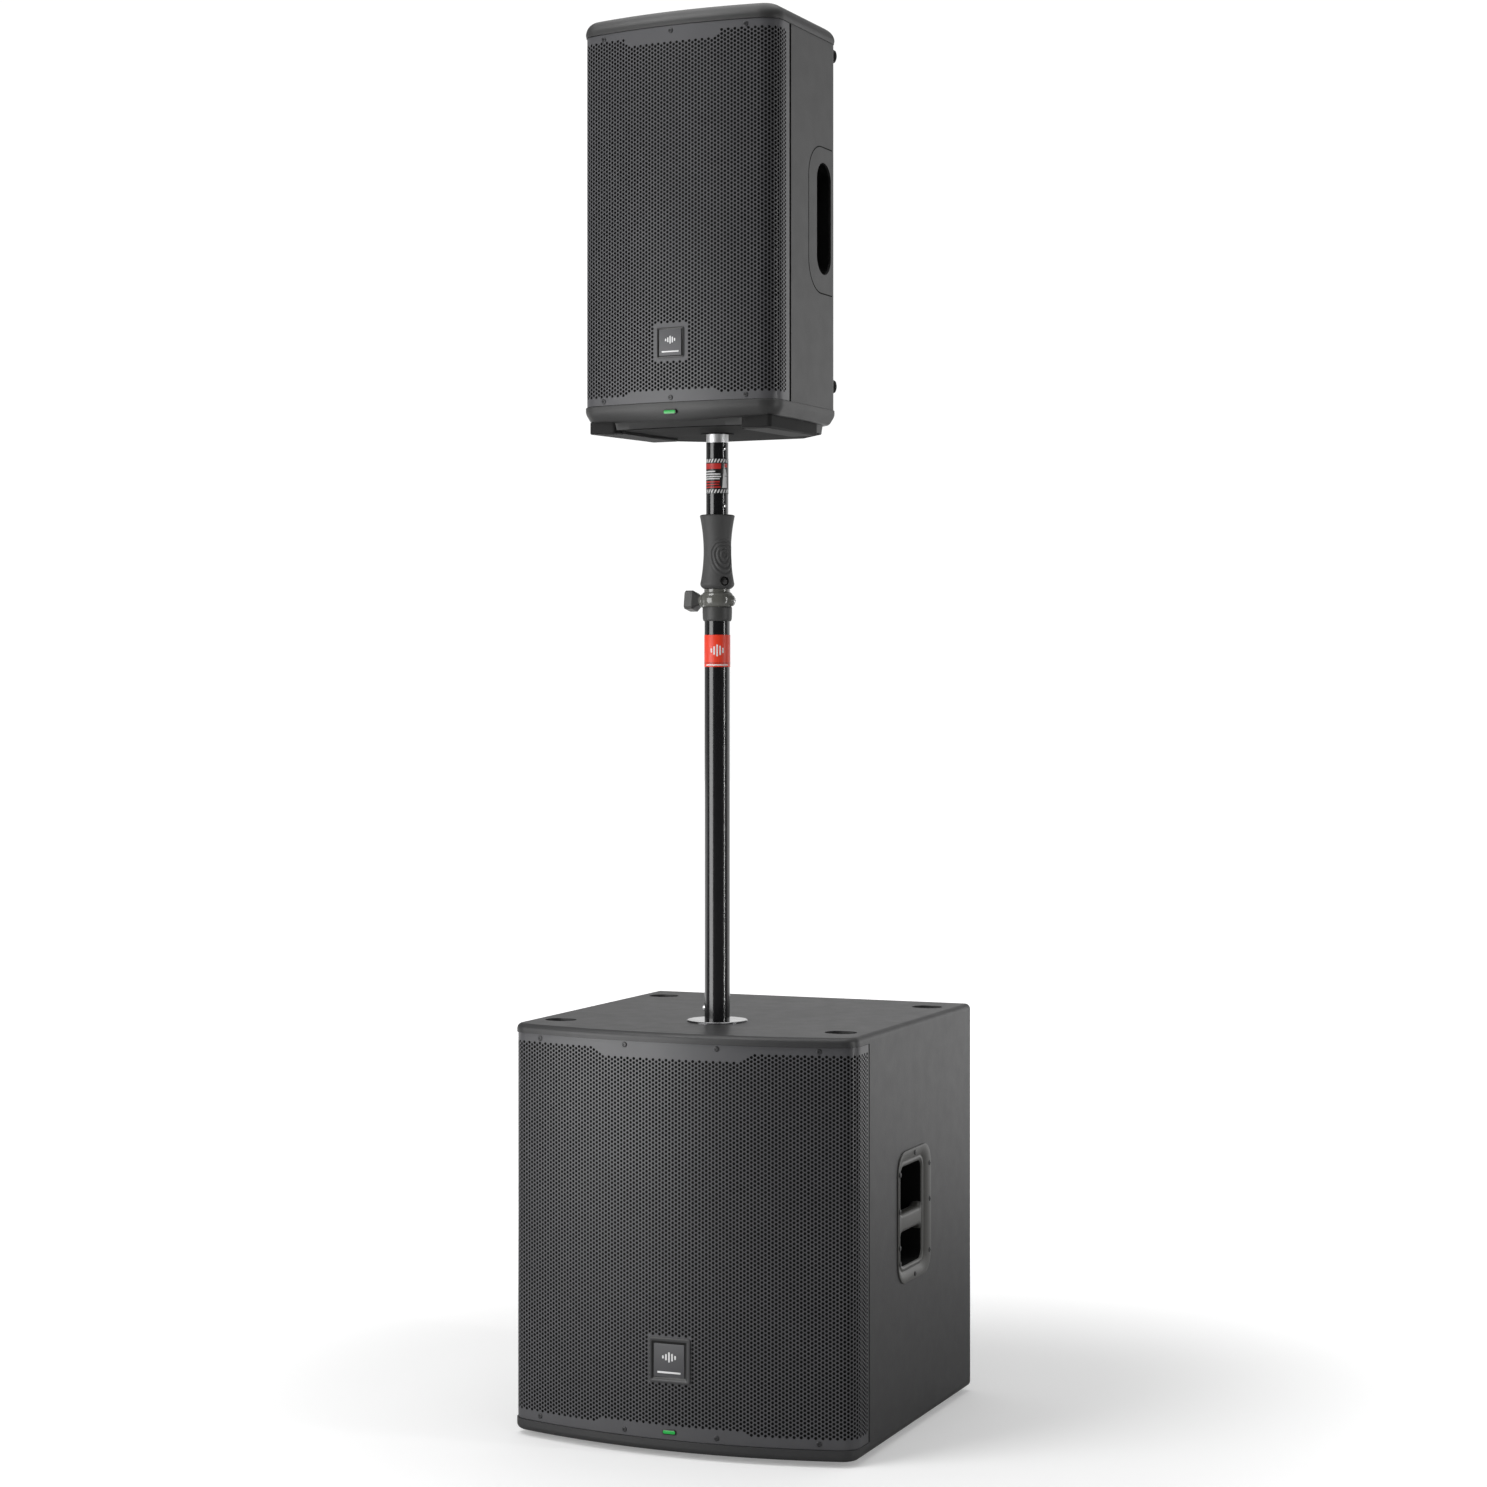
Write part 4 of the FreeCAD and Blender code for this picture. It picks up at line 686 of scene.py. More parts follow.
def slot_groove_shade(side):
    """A thin black line, painted shade for a groove, that rings the hand slot and runs out at the
    cabinet's rear edge.
    """
    centre_y, end_y, radius, low, high = 45, 88, 50, 266, 394
    path = [(end_y, high + radius), (centre_y, high + radius)]
    for z, first, last in ((high, 0.05, math.pi / 2), (low, math.pi / 2, math.pi)):
        for a in np.linspace(first, last, 24):
            path.append((centre_y - radius * math.sin(a), z + radius * math.cos(a)))
    path.append((end_y, low - radius))
    rings = []
    for k, (y, z) in enumerate(path):
        before, after = path[max(k - 1, 0)], path[min(k + 1, len(path) - 1)]
        along = Vector((after[0] - before[0], after[1] - before[1])).normalized()
        ring = []
        for width, out in ((-0.9, -0.4), (-0.9, 0.12), (0.9, 0.12), (0.9, -0.4)):
            a, b = y - along.y * width, z + along.x * width
            half = SHELL_HALF - SHELL_TAPER * (a - SHELL_FRONT) / SHELL_DEEP
            ring.append((side * (half + out), a, b))
        rings.append(ring)
    return stack(rings)


groove_shade_lines = Shape().add(slot_groove_shade(-1)).add(slot_groove_shade(1))
build("head_slot_groove_shades", groove_shade_lines, [PAINTED_SHADE], "speaker_head", (), HEAD)


# Screws

def screw_head(radius, tall, recess, star):
    """A domed screw head with a driven recess, standing on the plane z = 0."""
    levels = ((0.6, -4), (0.6, 0), (1, 0), (1, tall * 0.35), (0.93, tall * 0.7),
              (0.78, tall * 0.93), (0.62, tall))
    rings = [circle(radius * share, z) for share, z in levels]
    return stack([*rings, circle(star, tall), circle(lambda a: 0.92 * star(a), tall - recess)])


def cross_recess(angle):
    """Outline of a cross drive: four narrow wings."""
    return 0.85 + 1.35 * abs(math.cos(2 * angle)) ** 5


def hexagon_recess(angle):
    part = (angle % (math.pi / 3)) - math.pi / 6
    return 1.55 * math.cos(math.pi / 6) / math.cos(part)


def add_bow_screws(shape, half, bow, front, spots, levels):
    """Screws square to the bowed face of a grille."""
    radius = bow_radius(half, bow)
    for z in levels:
        for x in spots:
            y = front - bow + radius - math.sqrt(radius * radius - x * x)
            lean = Matrix.Rotation(math.asin(x / radius), 4, "Z")
            shape.add(hex_screw, 1, moved(x, y, z, lean @ FACE_FRONT))


def add_plate_screws(shape, width, tall, plate, inset=6):
    for x in (-(width / 2 - inset), width / 2 - inset):
        for z in (-(tall / 2 - inset), 0, tall / 2 - inset):
            shape.add(small_screw, 0, moved(x, plate[0], plate[1] + z, FACE_BACK))


HANDLE_SPOTS = (
    (78, 198), (78, 8), (8, 172), (7, 115), (7, 59), (8, 34), (147, 172), (148, 115), (147, 34)
)
HALF, PROUD = 284, 2
HANDLE_Y, HANDLE_Z = -68, 236
SUB_PLATE, HEAD_PLATE = (290, 338), (163.05, 300)
small_screw = screw_head(4.5, 2.2, 1.2, cross_recess)
handle_screw = screw_head(4.0, 1.2, 0.9, cross_recess)
hex_screw = screw_head(4.2, 1.2, 0.9, hexagon_recess)
sub_screws, head_screws = Shape(), Shape()
add_bow_screws(sub_screws, *SUB_BOW, (-231, -76, 76, 231), (35, 619.5))
for side in (-1, 1):
    for along, up in HANDLE_SPOTS:
        place = moved(side * (HALF + PROUD), HANDLE_Y + along, HANDLE_Z + up)
        sub_screws.add(handle_screw, 1, place @ turned_by(90 * side, "Y"))
add_plate_screws(sub_screws, 280, 400, SUB_PLATE)
add_bow_screws(head_screws, *HEAD_BOW, (-124, 0, 124), (45, 604))
add_plate_screws(head_screws, 150, 330, HEAD_PLATE)
for prefix, shape, body, stand in (
    ("sub", sub_screws, "root", SUB), ("head", head_screws, "speaker_head", HEAD)
):
    build(
        prefix + "_screw_heads", shape, [SCREW, BOLT], body, [prefix + "_screws"],
        stand,
    )


# Trim of the rear plates: display window, buttons, dial marks and cooling ribs

def panel_trim(name, body, stand, plate, display, knob, ribs, rib_box):
    """Details of one rear plate, placed by (across, up) from the plate's middle."""
    trim = Shape()

    def on_plate(x, z):
        return moved(x, plate[0], plate[1] + z, FACE_BACK)

    x, z, width, tall = display
    bezel = nested(width, tall, (
        (0, 4, 0), (0, 4, 1.0), (-0.6, 3.4, 1.6), (-3, 2, 1.6), (-3.5, 1.6, 0.7)
    ))
    trim.add(stack(bezel, True, False), 0, on_plate(x, z))
    glass = slab(width - 6.6, tall - 6.6, 1.6, [(0, 0.4), (0, 0.8)])
    trim.add(glass, 1, on_plate(x, z))
    button = slab(width / 5, 7, 3.2, eased(0.8, 0, 2.2))
    for across in (-1, 0, 1):
        trim.add(button, 0, on_plate(x + across * width * 0.32, z - tall / 2 - 9))
    dot = slab(2.6, 2.6, 1.3, [(0, 0), (0, 0.4), (0.3, 0.6)])
    trim.add(dot, 2, on_plate(knob[0], knob[1] + 24))
    tick = slab(0.9, 3.2, 0.3, [(0, 0), (0, 0.2)], (0, 15.5))
    for step in range(11):
        trim.add(tick, 3, on_plate(*knob) @ turned_by(30 * step - 150, "Z"))
    left, right, low, high, rise = rib_box
    rib = slab(5, high - low, 1.5, eased(1.2, 0, rise))
    for across in np.linspace(left, right, ribs):
        trim.add(rib, 4, on_plate(across, (low + high) / 2))
    build(name, trim, [KNOB, GLOSS, GREEN, WHITE, PLATE], body, (), stand)


panel_trim(
    "sub_panel_trim", "root", SUB, SUB_PLATE, (-34, 62, 92, 52), (60, 62), 13,
    (-108, 108, -118, -2, 7.5),
)
panel_trim(
    "head_panel_trim", "speaker_head", HEAD, HEAD_PLATE, (-24, 48, 62, 40), (36, 46), 9,
    (-56, 56, -98, 4, 6),
)


# Badges and status lights, drawn facing +Z and then stood on the front
MARK_BARS = (0.32, 0.62, 1.0, 0.74, 0.4)


def badge(name, outer, well, floor, depth, body, replaces, stand, rise, tall):
    """A frame round a sunken plate, with a generic mark: bars of uneven height over a line."""
    ring = Shape()
    rings = nested(outer, outer, (
        (0, 3.5, -0.9), (0, 3.5, rise - 0.6), (-0.2, 3.3, rise - 0.2), (-0.7, 2.9, rise)
    ))
    mouth = nested(well, well * tall, ((0.4, 2.0, rise), (0, 1.8, rise - 0.3)))
    ring.add(stack(rings + mouth, True, False), 0)
    # the well's walls and floor take the painted shade, black for the shadow gap round the plate
    ring.add(stack(mouth[1:] + nested(floor, floor * tall, ((0, 1.2, rise - depth),)), False), 1)
    plate = floor - 2.6
    top = rise - depth + 1.1
    ring.add(slab(plate, plate * tall, 1.2, eased(0.5, rise - depth - 0.2, top)), 2)
    size = plate * 0.5
    for index, share in enumerate(MARK_BARS):
        levels = [(0, top - 0.2), (0, top + 0.15), (0.12, top + 0.25)]
        place = ((index - 2) * size / 5, plate * 0.1)
        ring.add(slab(size / 9, size * 0.62 * share, size / 18, levels, place), 3)
    line = [(0, top - 0.2), (0, top + 0.15), (0.1, top + 0.22)]
    ring.add(slab(plate * 0.76, plate * 0.055, 0.6, line, (0, -plate * 0.36)), 3)
    build(
        name, ring, [BADGE, BADGE_WELL_SHADE, BADGE_PLATE, WHITE], body, replaces, stand
    )


SUB_FACE_Y = -296.1
badge(
    "sub_badge_frame", 69, 57.5, 53, 1.6, "root", ["sub_badge"],
    moved(0, SUB_FACE_Y, SUB_BADGE_Z, FACE_FRONT), 1.6, 1.0,
)
badge(
    "head_badge_frame", 47, 44, 41.5, 1.2, "speaker_head", ["head_badge"],
    HEAD @ moved(0, -150.1, HEAD_BADGE_Z, FACE_FRONT), 1.2, 1.03,
)
status_light = Shape()
status_light.add(slab(23, 8, 3.5, eased(0.6, -0.5, 1.4)))
status_light.add(slab(20, 5, 2.2, [(0, 1.2), (0, 1.45), (0.5, 1.6)]), 1)
for prefix, body, stand in (
    ("sub", "root", moved(0, SUB_FACE_Y, 38, FACE_FRONT)),
    ("head", "speaker_head", HEAD @ moved(0, -152.1, 23, FACE_FRONT)),
):
    build(
        prefix + "_status_light", status_light, [SOCKET, GREEN], body,
        [prefix + "_status_window"], stand,
    )


# Side handles of the subwoofer, drawn facing +Z with X along the board and Y up

FLANGE_WIDE, FLANGE_TALL = 155, 206
CUP_LEFT, CUP_LOW, CUP_WIDE, CUP_TALL = 13, 29, 97, 153
BAR_LOW, BAR_TALL, BAR_DEEP, BAR_SUNK, BAR_FLARE = 80, 30, 20, 11.2, 13
LIT_LEVELS = 16


def handle(side):
    """A cup in a flange, with a finger bar across it."""
    centre_x, centre_y = FLANGE_WIDE / 2, FLANGE_TALL / 2
    cup = (CUP_LEFT + CUP_WIDE / 2 - centre_x, CUP_LOW + CUP_TALL / 2 - centre_y)
    rings = nested(
        CUP_WIDE, CUP_TALL, ((-9, 11, -59), (-2.5, 13, -54), (2, 15.5, -5), (3, 16.5, -0.2)), cup
    )
    rings += nested(FLANGE_WIDE, FLANGE_TALL, (
        (-1, 33, -0.2), (0, 34, 0.2), (0, 34, PROUD - 1.2), (-0.2, 33.8, PROUD - 0.5),
        (-0.8, 33.2, PROUD - 0.05), (-1.3, 32.7, PROUD),
    ))
    # a step runs round the cup's mouth, then the mouth rolls in
    rings += nested(CUP_WIDE, CUP_TALL, (
        (11, 20, PROUD), (10, 19.5, PROUD - 0.9), (7.4, 18, PROUD - 1.0),
        (6.4, 17.5, PROUD - 0.3), (4.6, 16.5, PROUD - 0.3), (2.0, 15, PROUD - 1.1),
        (0.6, 14, PROUD - 2.6), (0, 13.5, PROUD - 5), (-2, 12.5, -40), (-5, 12, -52),
        (-12, 10, -56.5),
    ), cup)
    # the cup's deep inner walls and floor take the painted shade, black for the shade inside the
    # cup
    around = len(rings[0])
    lit_faces = LIT_LEVELS * around
    cup_shade_faces = (len(rings) - 1) * around - lit_faces
    shape = Shape().add(stack(rings), [0] * lit_faces + [1] * cup_shade_faces + [0, 1])
    # the finger bar, flared where it meets the cup's sides
    bar_y = BAR_LOW + BAR_TALL / 2 - centre_y
    bar_rings = []
    reach = CUP_WIDE / 2 + 1.5
    for along in np.linspace(-reach, reach, 33):
        flare = max(0, abs(along) - (reach - BAR_FLARE)) / BAR_FLARE
        grown = 10 * (1 - math.sqrt(max(1 - flare * flare, 0)))
        ring = rounded_ring(BAR_TALL + 2 * grown, BAR_DEEP, 7)
        bar_rings.append([(cup[0] + along, bar_y + a, PROUD - BAR_SUNK + b) for a, b, _ in ring])
    shape.add(stack(bar_rings))
    turn = Matrix(((0, 0, side, 0), (1, 0, 0, 0), (0, 1, 0, 0), (0, 0, 0, 1)))
    hand = "right" if side > 0 else "left"
    build(
        f"sub_{hand}_handle_cup", shape, [HANDLE, PAINTED_SHADE], "root",
        [f"sub_{hand}_handle"],
        moved(side * HALF, HANDLE_Y + centre_x, HANDLE_Z + centre_y) @ turn, sharp=45,
    )


handle(-1)
handle(1)


# Pole, with heights from the subwoofer's top

def rounded_profile(points, ease=1.0, steps=3):
    """A closed section whose corners are cut with short curves."""
    found = []
    count = len(points)
    for index, here in enumerate(points):
        before = Vector(points[index - 1])
        after = Vector(points[(index + 1) % count])
        here = Vector(here)
        if here.x < 1e-6:
            found.append(tuple(here))
            continue
        cut = min(ease, (before - here).length * 0.45, (after - here).length * 0.45)
        start = here + (before - here).normalized() * cut
        end = here + (after - here).normalized() * cut
        for step in range(steps + 1):
            share = step / steps
            found.append(tuple(start.lerp(here, share).lerp(here.lerp(end, share), share)))
    return found


GRIP_LOW, GRIP_TALL, GRIP_INNER = 676.5, 115.9, 17.55
GRIP_FOOT, GRIP_HEAD, GRIP_WAIST = 28.5, 27.8, 6.6
WAVE_TURN, WAVE_HEIGHT, WAVE_REACH = math.radians(-35), 731, 21
WAVE_RISE, WAVE_PITCH = 0.7, 5.2


def grip_radius(height):
    share = (height - GRIP_LOW) / GRIP_TALL
    ends = GRIP_FOOT + (GRIP_HEAD - GRIP_FOOT) * share
    return ends - GRIP_WAIST * (1 - (2 * share - 1) ** 2)


def ripples(angle, height, radius):
    """Shallow ridges that ring one spot on the grip."""
    if height < GRIP_LOW + 8 or height > GRIP_LOW + GRIP_TALL - 4 or radius < GRIP_INNER + 1:
        return 0.0
    around = (angle - WAVE_TURN + math.pi) % (2 * math.pi) - math.pi
    up = height - WAVE_HEIGHT
    distance = math.hypot(around * radius * 0.9, up * (0.95 if up > 0 else 0.62))
    fade = 1 / (1 + math.exp((distance - WAVE_REACH) / 1.6))
    return WAVE_RISE * fade * math.cos(2 * math.pi * distance / WAVE_PITCH)


def grip(levels=150):
    low, high = GRIP_LOW, GRIP_LOW + GRIP_TALL
    profile = [(GRIP_INNER, low), (20.2, low), (22.6, low + 1), (25, low + 3.2), (26.4, low + 5.6)]
    for step in range(levels + 1):
        height = low + 8 + (GRIP_TALL - 11) * step / levels
        profile.append((grip_radius(height), height))
    profile += [(27.5, high - 1.9), (26.6, high - 0.7), (24.9, high), (19.2, high)]
    profile += [(18.6, high - 1.2), (GRIP_INNER, high - 1.2)]
    return lathe(profile, 220, ripples)


def on_side(radius, height, degrees):
    """A place on the pole's side, where +Z points straight out."""
    return turned_by(degrees, "Z") @ moved(radius, 0, height, turned_by(90, "Y"))


build(
    "pole_grip_rubber", Shape().add(grip()), [GRIP], "mast", ["pole_grip"], POLE,
    sharp=50,
)
SCREW_HEIGHT = 688
# the bezel round the grip screw takes the painted shade black
bezel = [(7.2, -2.5), (7.2, 1.4), (6.6, 2.1), (5.4, 2.2), (4.9, 1.4), (4.9, -2.5)]
grip_screw = Shape().add(lathe(bezel, 48)).add(screw_head(4.1, 1.4, 1.1, hexagon_recess), 1)
build(
    "pole_grip_screw", grip_screw, [PAINTED_SHADE, MAGNET], "mast", (),
    POLE @ on_side(grip_radius(SCREW_HEIGHT) - 1.2, SCREW_HEIGHT, -41),
)

KNOB_HEIGHT, KNOB_REACH = 658, 29
sleeve_profile = [
    (20.05, 626), (21.4, 626), (22.8, 629.5), (23.2, 640), (23.2, 648), (17.6, 648),
    (17.6, 645.1), (20.05, 645.1),
]
ring_profile = [(17.6, 648)]
for step in range(15):
    angle = math.radians(-78 + 156 * step / 14)
    ring_profile.append((19.2 + 6.9 * math.cos(angle), 659.5 + 12.2 * math.sin(angle)))
ring_profile += [(20.6, 673.5), (20.6, 676), (17.6, 676)]
collar = Shape().add(lathe(rounded_profile(sleeve_profile, 1.2)), 1)
collar.add(lathe(ring_profile, 128))
# two round bosses on the ring's sides, from (reach, radius) sections
for way, sections in (
    (-1, ((20, 11.8), (24.5, 11.2), (27, 10.2), (28.2, 9.4), (KNOB_REACH, 8.4))),
    (1, ((20, 9.5), (24.5, 9.0), (27.2, 8.0), (28.4, 6.4))),
):
    collar.add(stack([
        [(way * reach, a, KNOB_HEIGHT + b) for a, b, _ in circle(size, 0, 40)]
        for reach, size in sections
    ]))
build("pole_collar_clamp", collar, [COLLAR, SLEEVE], "root", ["pole_collar"], POLE)
nut = Shape().add(screw_head(4.6, 2.4, 1.2, hexagon_recess))
build(
    "pole_clamp_nut", nut, [STEEL], "root", (),
    POLE @ on_side(28.3, KNOB_HEIGHT, 0),
)


def faceted(sections, sides, flat, turn):
    """A prism from (radius, height) sections, whose flats take up that share of the way round."""
    rings = []
    for size, z in sections:
        ring = []
        for k in range(sides):
            for lean in (-flat / 2, flat / 2):
                angle = turn + 2 * math.pi * (k + lean) / sides
                ring.append((size * math.cos(angle), size * math.sin(angle), z))
        rings.append(ring)
    return stack(rings)


knob = Shape().add(lathe([(0, -10), (3.9, -10), (3.9, 2), (0, 2)], 40))
knob_sections = (
    (9.5, -1), (10.6, -0.4), (11.6, 1.4), (17.8, 7.6), (18.6, 8.8), (18.6, 20.6), (17.6, 21.8),
    (14.5, 22), (13.6, 20.6), (6, 20.2),
)
knob.add(faceted(knob_sections, 4, 0.84, math.radians(10)))
build(
    "pole_clamp_knob_faceted", knob, [KNOB], "clamp_knob", ["pole_clamp_knob"],
    POLE @ moved(-KNOB_REACH, 0, KNOB_HEIGHT, turned_by(-90, "Y")), sharp=24,
)


PRINT_THICK, PRINT_STEP = 0.12, 1.5


def patch(left, right, low, high, radius, height, slant=0.0):
    """A thin patch bent round the pole at a height over its radius; its top may lean along."""
    steps = max(1, math.ceil((right - left) / PRINT_STEP))
    rings = []
    for k in range(steps + 1):
        start = left + (right - left) * k / steps
        ring = []
        for x, up, rise in (
            (start, low, 0), (start + slant, high, 0), (start + slant, high, PRINT_THICK),
            (start, low, PRINT_THICK),
        ):
            angle = x / radius - math.pi / 2
            size = radius + height + rise
            ring.append((size * math.cos(angle), size * math.sin(angle), up))
        rings.append(ring)
    return stack(rings)


BAND_LOW, BAND_HIGH, BAND_RADIUS = 554.4, 604.5, 20
band_section = [
    (20.02, BAND_LOW), (20.3, BAND_LOW), (20.42, BAND_LOW + 0.4), (20.42, BAND_HIGH - 0.4),
    (20.3, BAND_HIGH), (20.02, BAND_HIGH),
]
band = Shape().add(lathe(band_section, 128))
VIEW_SIDE = math.radians(22) * BAND_RADIUS
for index, share in enumerate((0.35, 0.7, 1.0, 0.8, 0.45)):
    x, tall = VIEW_SIDE + (index - 2) * 4.6, 9 * share
    band.add(patch(x - 1.2, x + 1.2, 580 - tall, 580 + tall, BAND_RADIUS, 0.4), 1)
for left, right, low, high, mark in (
    (-62.8, 62.8, BAND_LOW + 5.6, BAND_LOW + 6.4, 2),
    (VIEW_SIDE - 19, VIEW_SIDE + 19, BAND_LOW + 2.0, BAND_LOW + 4.0, 1),
):
    band.add(patch(left, right, low, high, BAND_RADIUS, 0.38), mark)
build("pole_colour_band", band, [BAND, WHITE, LABEL_BLACK], "root", (), POLE)

label = Shape()
LABEL_LOW, LABEL_HIGH = 825, 880
LABEL_LEFT, LABEL_RIGHT, LABEL_RADIUS = -26, 27, 17.5
LABEL_MIDDLE = VIEW_SIDE * 0.875


def printed(left, right, low, tall, mark, slant=0.0, height=0.16):
    ends = LABEL_MIDDLE + left, LABEL_MIDDLE + right
    label.add(patch(*ends, low, low + tall, LABEL_RADIUS, height, slant), mark)


printed(LABEL_LEFT, LABEL_RIGHT, LABEL_LOW, LABEL_HIGH - LABEL_LOW, 0, height=0.03)
for base in (LABEL_LOW + 1, LABEL_HIGH - 6.5):
    for k in range(10):
        left = LABEL_LEFT + 0.5 + k * 5
        printed(left, left + 2.4, base, 5.5, 1, 2.6)
for left, right, base, tall, mark, slant in (
    (LABEL_LEFT + 1, 6, 863.5, 8.5, 2, 0),
    (-24, -3, 858.6, 2, 1, 0), (-24, 5, 854.4, 2, 1, 0), (-24, 6, 850.6, 2, 1, 0),
    (-24, 4, 847.2, 2, 1, 0), (-24, 4, 842.4, 2, 2, 0), (-24, 3, 838.2, 2, 2, 0),
    (-24, 5, 834, 2, 2, 0), (8, 11, 834, 37, 1, 3.5), (11, 17, 834, 18, 1, 0),
    (13, 17, 853, 10, 1, -2), (12, 19, 866, 6, 2, 0),
):
    printed(left, right, base, tall, mark, slant)
build("pole_label_plain", label, [LABEL_BLACK, WHITE, LABEL_RED], "mast", (), POLE)

rivets = Shape()
rivet = lathe([(0, -2), (3.2, -2), (3.2, 0.2), (2.6, 0.9), (1.4, 1.3), (0, 1.4)], 32)
for height in (806, 896):
    rivets.add(rivet, 0, on_side(17.3, height, -28))
build("pole_rivets", rivets, [STEEL], "mast", (), POLE)


# Materials of the CAD nodes that stay; names in the first group come in both cabinets
FINISHES = (
    (FOAM_AND_SHADE, "baffle grille_foam"),
    (MAGNET, "woofer_frame woofer_magnet"),
    (RUBBER, "woofer_suspension"),
    (CONE, "woofer_cone"),
    (PLATE, "amp_plate"),
    (FINS, "amp_module"),
    (SOCKET, "signal_sockets mains_inlet mains_rocker"),
    (KNOB, "level_knob"),
)
SINGLE_FINISHES = (
    (PAINT, "sub_top_panel sub_bottom_panel sub_left_panel sub_right_panel sub_back_panel"),
    (RUBBER, "sub_feet head_rubber_feet"),
    (SOCKET, "sub_port_tubes head_horn head_handle_cups"),
    (CHROME, "sub_pole_socket"),
    (GLOSS, "pole_lower_tube pole_upper_tube pole_gas_cylinder"),
    (STEEL, "pole_stud pole_set_screw pole_gas_rod"),
    (SATIN, "pole_spigot"),
    (SHELL, "head_cabinet"),
    # the pole socket under the cabinet takes the painted shade black
    (PAINTED_SHADE, "head_pole_socket"),
    (MAGNET, "head_compression_driver"),
)
for prefix, group in (("sub_", FINISHES), ("head_", FINISHES), ("", SINGLE_FINISHES)):
    for finish, names in group:
        for name in names.split():
            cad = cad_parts[prefix + name].data
            cad.materials.clear()
            cad.materials.append(finish)
            cad.polygons.foreach_set("material_index", [0] * len(cad.polygons))


# Floor, light and camera
CAMERA_PLACE = (1.8639, -4.5237, 1.1649)
CAMERA_TURN, CAMERA_LENS, CAMERA_SENSOR, CAMERA_SHIFT = 0.391, 74.06, 36, -0.0388
VIEW_AHEAD = (-math.sin(CAMERA_TURN), math.cos(CAMERA_TURN), 0)
VIEW_RIGHT = (math.cos(CAMERA_TURN), math.sin(CAMERA_TURN), 0)
FLOOR_REACH = 30
FLOOR_SHADE_GLOW, FLOOR_BOUNCE, FLOOR_PAPER = 0.26, 0.45, 0.8
PAPER_LIGHT, LEFT_SHARE, ROOM_LIGHT, BACKDROP_LIGHT = 1.3, 0.25, 0.05, 1.05


def camera_only(tree, others, seen, output):
    """One shader for camera rays and another for every other ray."""
    path = node(tree, "ShaderNodeLightPath", {})
    inputs = {"Fac": path.outputs["Is Camera Ray"], 1: others, 2: seen}
    tree.links.new(node(tree, "ShaderNodeMixShader", inputs).outputs["Shader"], output)


def distance_along(tree, place, direction):
    """How far a place lies along a direction."""
    inputs = {0: place, 1: direction}
    return node(tree, "ShaderNodeVectorMath", inputs, operation="DOT_PRODUCT").outputs["Value"]


def combined(tree, operation, first, second):
    inputs = {0: first, 1: second}
    return node(tree, "ShaderNodeMath", inputs, operation=operation).outputs["Value"]


def pale_floor():
    """A pale sheet that fades into the white backdrop away from the object."""
    made = bpy.data.materials.new("pale_floor")
    made.use_nodes = True
    tree = made.node_tree
    tree.nodes.remove(tree.nodes["Principled BSDF"])
    place = node(tree, "ShaderNodeTexCoord", {}).outputs["Object"]
    distance = node(tree, "ShaderNodeVectorMath", {0: place}, operation="LENGTH").outputs["Value"]
    # the floor glows less near the object: a painted shade round its base
    fade = ranged(tree, distance, 0.6, 2.0, FLOOR_SHADE_GLOW, 1.0)
    rise = ranged(tree, distance_along(tree, place, VIEW_AHEAD), 0.4, 3.4, 0.0, 1.1)
    both = []
    for albedo, strength in ((FLOOR_BOUNCE, rise), (FLOOR_PAPER, fade)):
        glow = node(tree, "ShaderNodeEmission", {"Strength": strength}).outputs["Emission"]
        diffuse = node(tree, "ShaderNodeBsdfDiffuse", {"Color": (*grey(albedo), 1)})
        inputs = {0: glow, 1: diffuse.outputs["BSDF"]}
        both.append(node(tree, "ShaderNodeAddShader", inputs).outputs["Shader"])
    camera_only(tree, *both, tree.nodes["Material Output"].inputs["Surface"])
    return made


floor_mesh = bpy.data.meshes.new("floor")
corners = [(x * FLOOR_REACH, y * FLOOR_REACH, 0) for x, y in ((-1, -1), (1, -1), (1, 1), (-1, 1))]
floor_mesh.from_pydata(corners, [], [(0, 1, 2, 3)])
floor_mesh.materials.append(pale_floor())
floor = bpy.data.objects.new("floor", floor_mesh)
bpy.context.scene.collection.objects.link(floor)


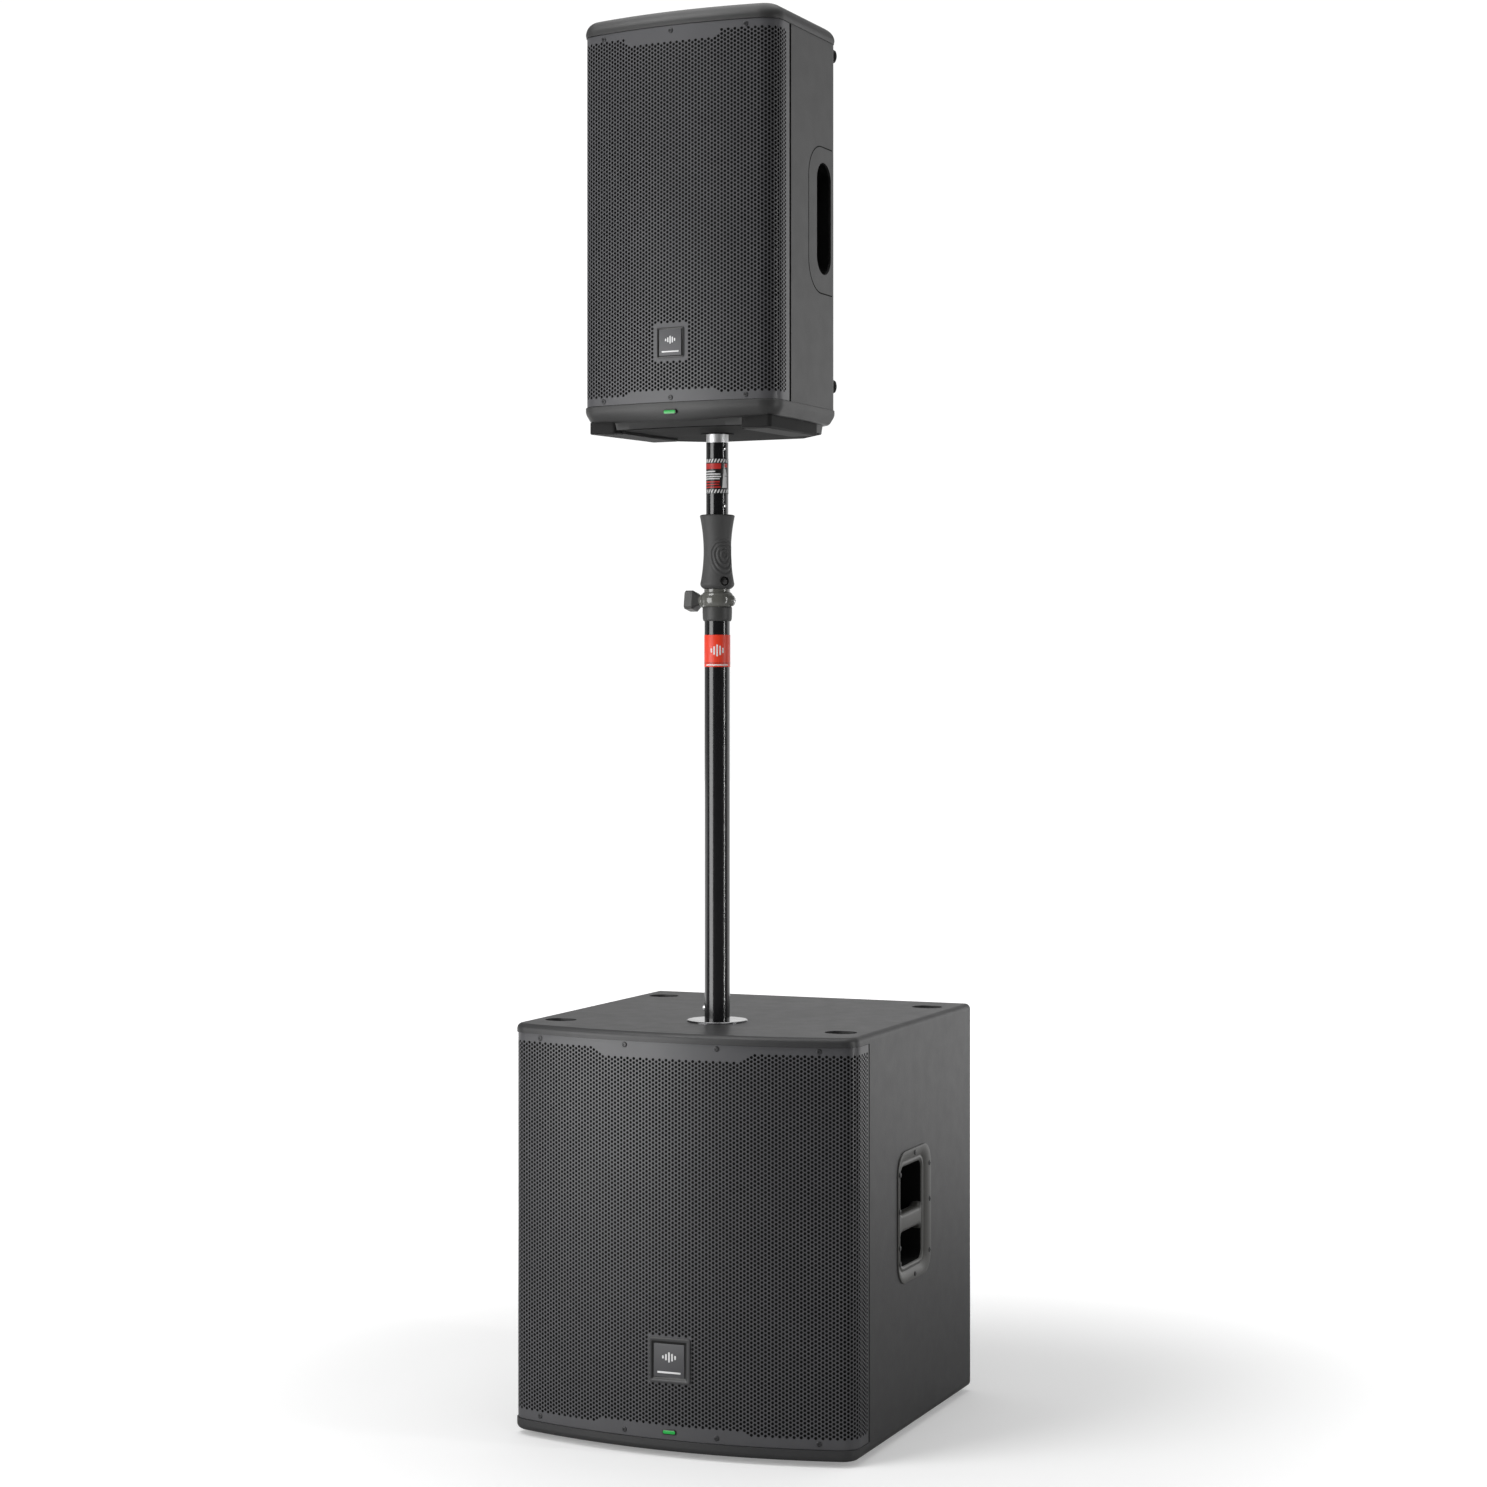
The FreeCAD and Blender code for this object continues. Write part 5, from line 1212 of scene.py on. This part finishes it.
def softbox(name, azimuth, elevation, distance, aim, width, height, power):
    """A panel of light; azimuth runs from straight ahead of the grilles towards +X."""
    lamp = bpy.data.lights.new(name, "AREA")
    lamp.shape = "RECTANGLE"
    lamp.size, lamp.size_y = width, height
    lamp.energy = power
    holder = bpy.data.objects.new(name, lamp)
    azimuth, elevation = math.radians(azimuth), math.radians(elevation)
    level = math.cos(elevation)
    away = Vector((level * math.sin(azimuth), -level * math.cos(azimuth), math.sin(elevation)))
    holder.location = Vector((0, 0, aim)) + away * distance
    holder.rotation_euler = (-away).to_track_quat("-Z", "Y").to_euler()
    bpy.context.scene.collection.objects.link(holder)


softbox("key_box", -36, 48, 3.4, 1.2, 1.6, 1.4, 42)
softbox("left_box", -34, 0, 2.8, 1.0, 1.7, 1.9, 52)
softbox("right_strip", 88, 0, 3.0, 1.2, 0.1, 2.4, 23)
softbox("overhead", 0, 90, 2.6, 1.2, 2.6, 2.6, 38)


def studio_world():
    """White paper behind the object and a dim room in front; the camera sees white all round."""
    world = bpy.data.worlds.new("studio")
    world.use_nodes = True
    tree = world.node_tree
    place = node(tree, "ShaderNodeTexCoord", {}).outputs["Generated"]
    height = node(tree, "ShaderNodeSeparateXYZ", {0: place}).outputs["Z"]
    glow = ranged(tree, distance_along(tree, place, VIEW_AHEAD), -0.15, 0.55, 0.0, 1.0)
    right_part = ranged(tree, distance_along(tree, place, VIEW_RIGHT), -0.5, 0.3, LEFT_SHARE, 1.0)
    for share in (ranged(tree, height, 0.12, 0.3, 1.0, 0.25), right_part, PAPER_LIGHT):
        glow = combined(tree, "MULTIPLY", glow, share)
    glow = combined(tree, "ADD", glow, ranged(tree, height, 0.5, 0.95, ROOM_LIGHT, 0.3))
    white = (*grey(1), 1)
    room = tree.nodes["Background"]
    fill(tree, room, {"Color": white, "Strength": glow})
    backdrop = node(tree, "ShaderNodeBackground", {"Color": white, "Strength": BACKDROP_LIGHT})
    camera_only(
        tree, room.outputs["Background"], backdrop.outputs["Background"],
        tree.nodes["World Output"].inputs["Surface"],
    )
    bpy.context.scene.world = world


studio_world()

camera_data = bpy.data.cameras.new("camera")
camera_data.lens = CAMERA_LENS
camera_data.sensor_width = CAMERA_SENSOR
camera_data.shift_y = CAMERA_SHIFT
camera_data.clip_end = 100
camera = bpy.data.objects.new("camera", camera_data)
camera.location = CAMERA_PLACE
camera.rotation_euler = (math.pi / 2, 0, CAMERA_TURN)
bpy.context.scene.collection.objects.link(camera)
bpy.context.scene.camera = camera
bpy.context.scene.view_settings.view_transform = "Standard"

bpy.context.view_layer.update()
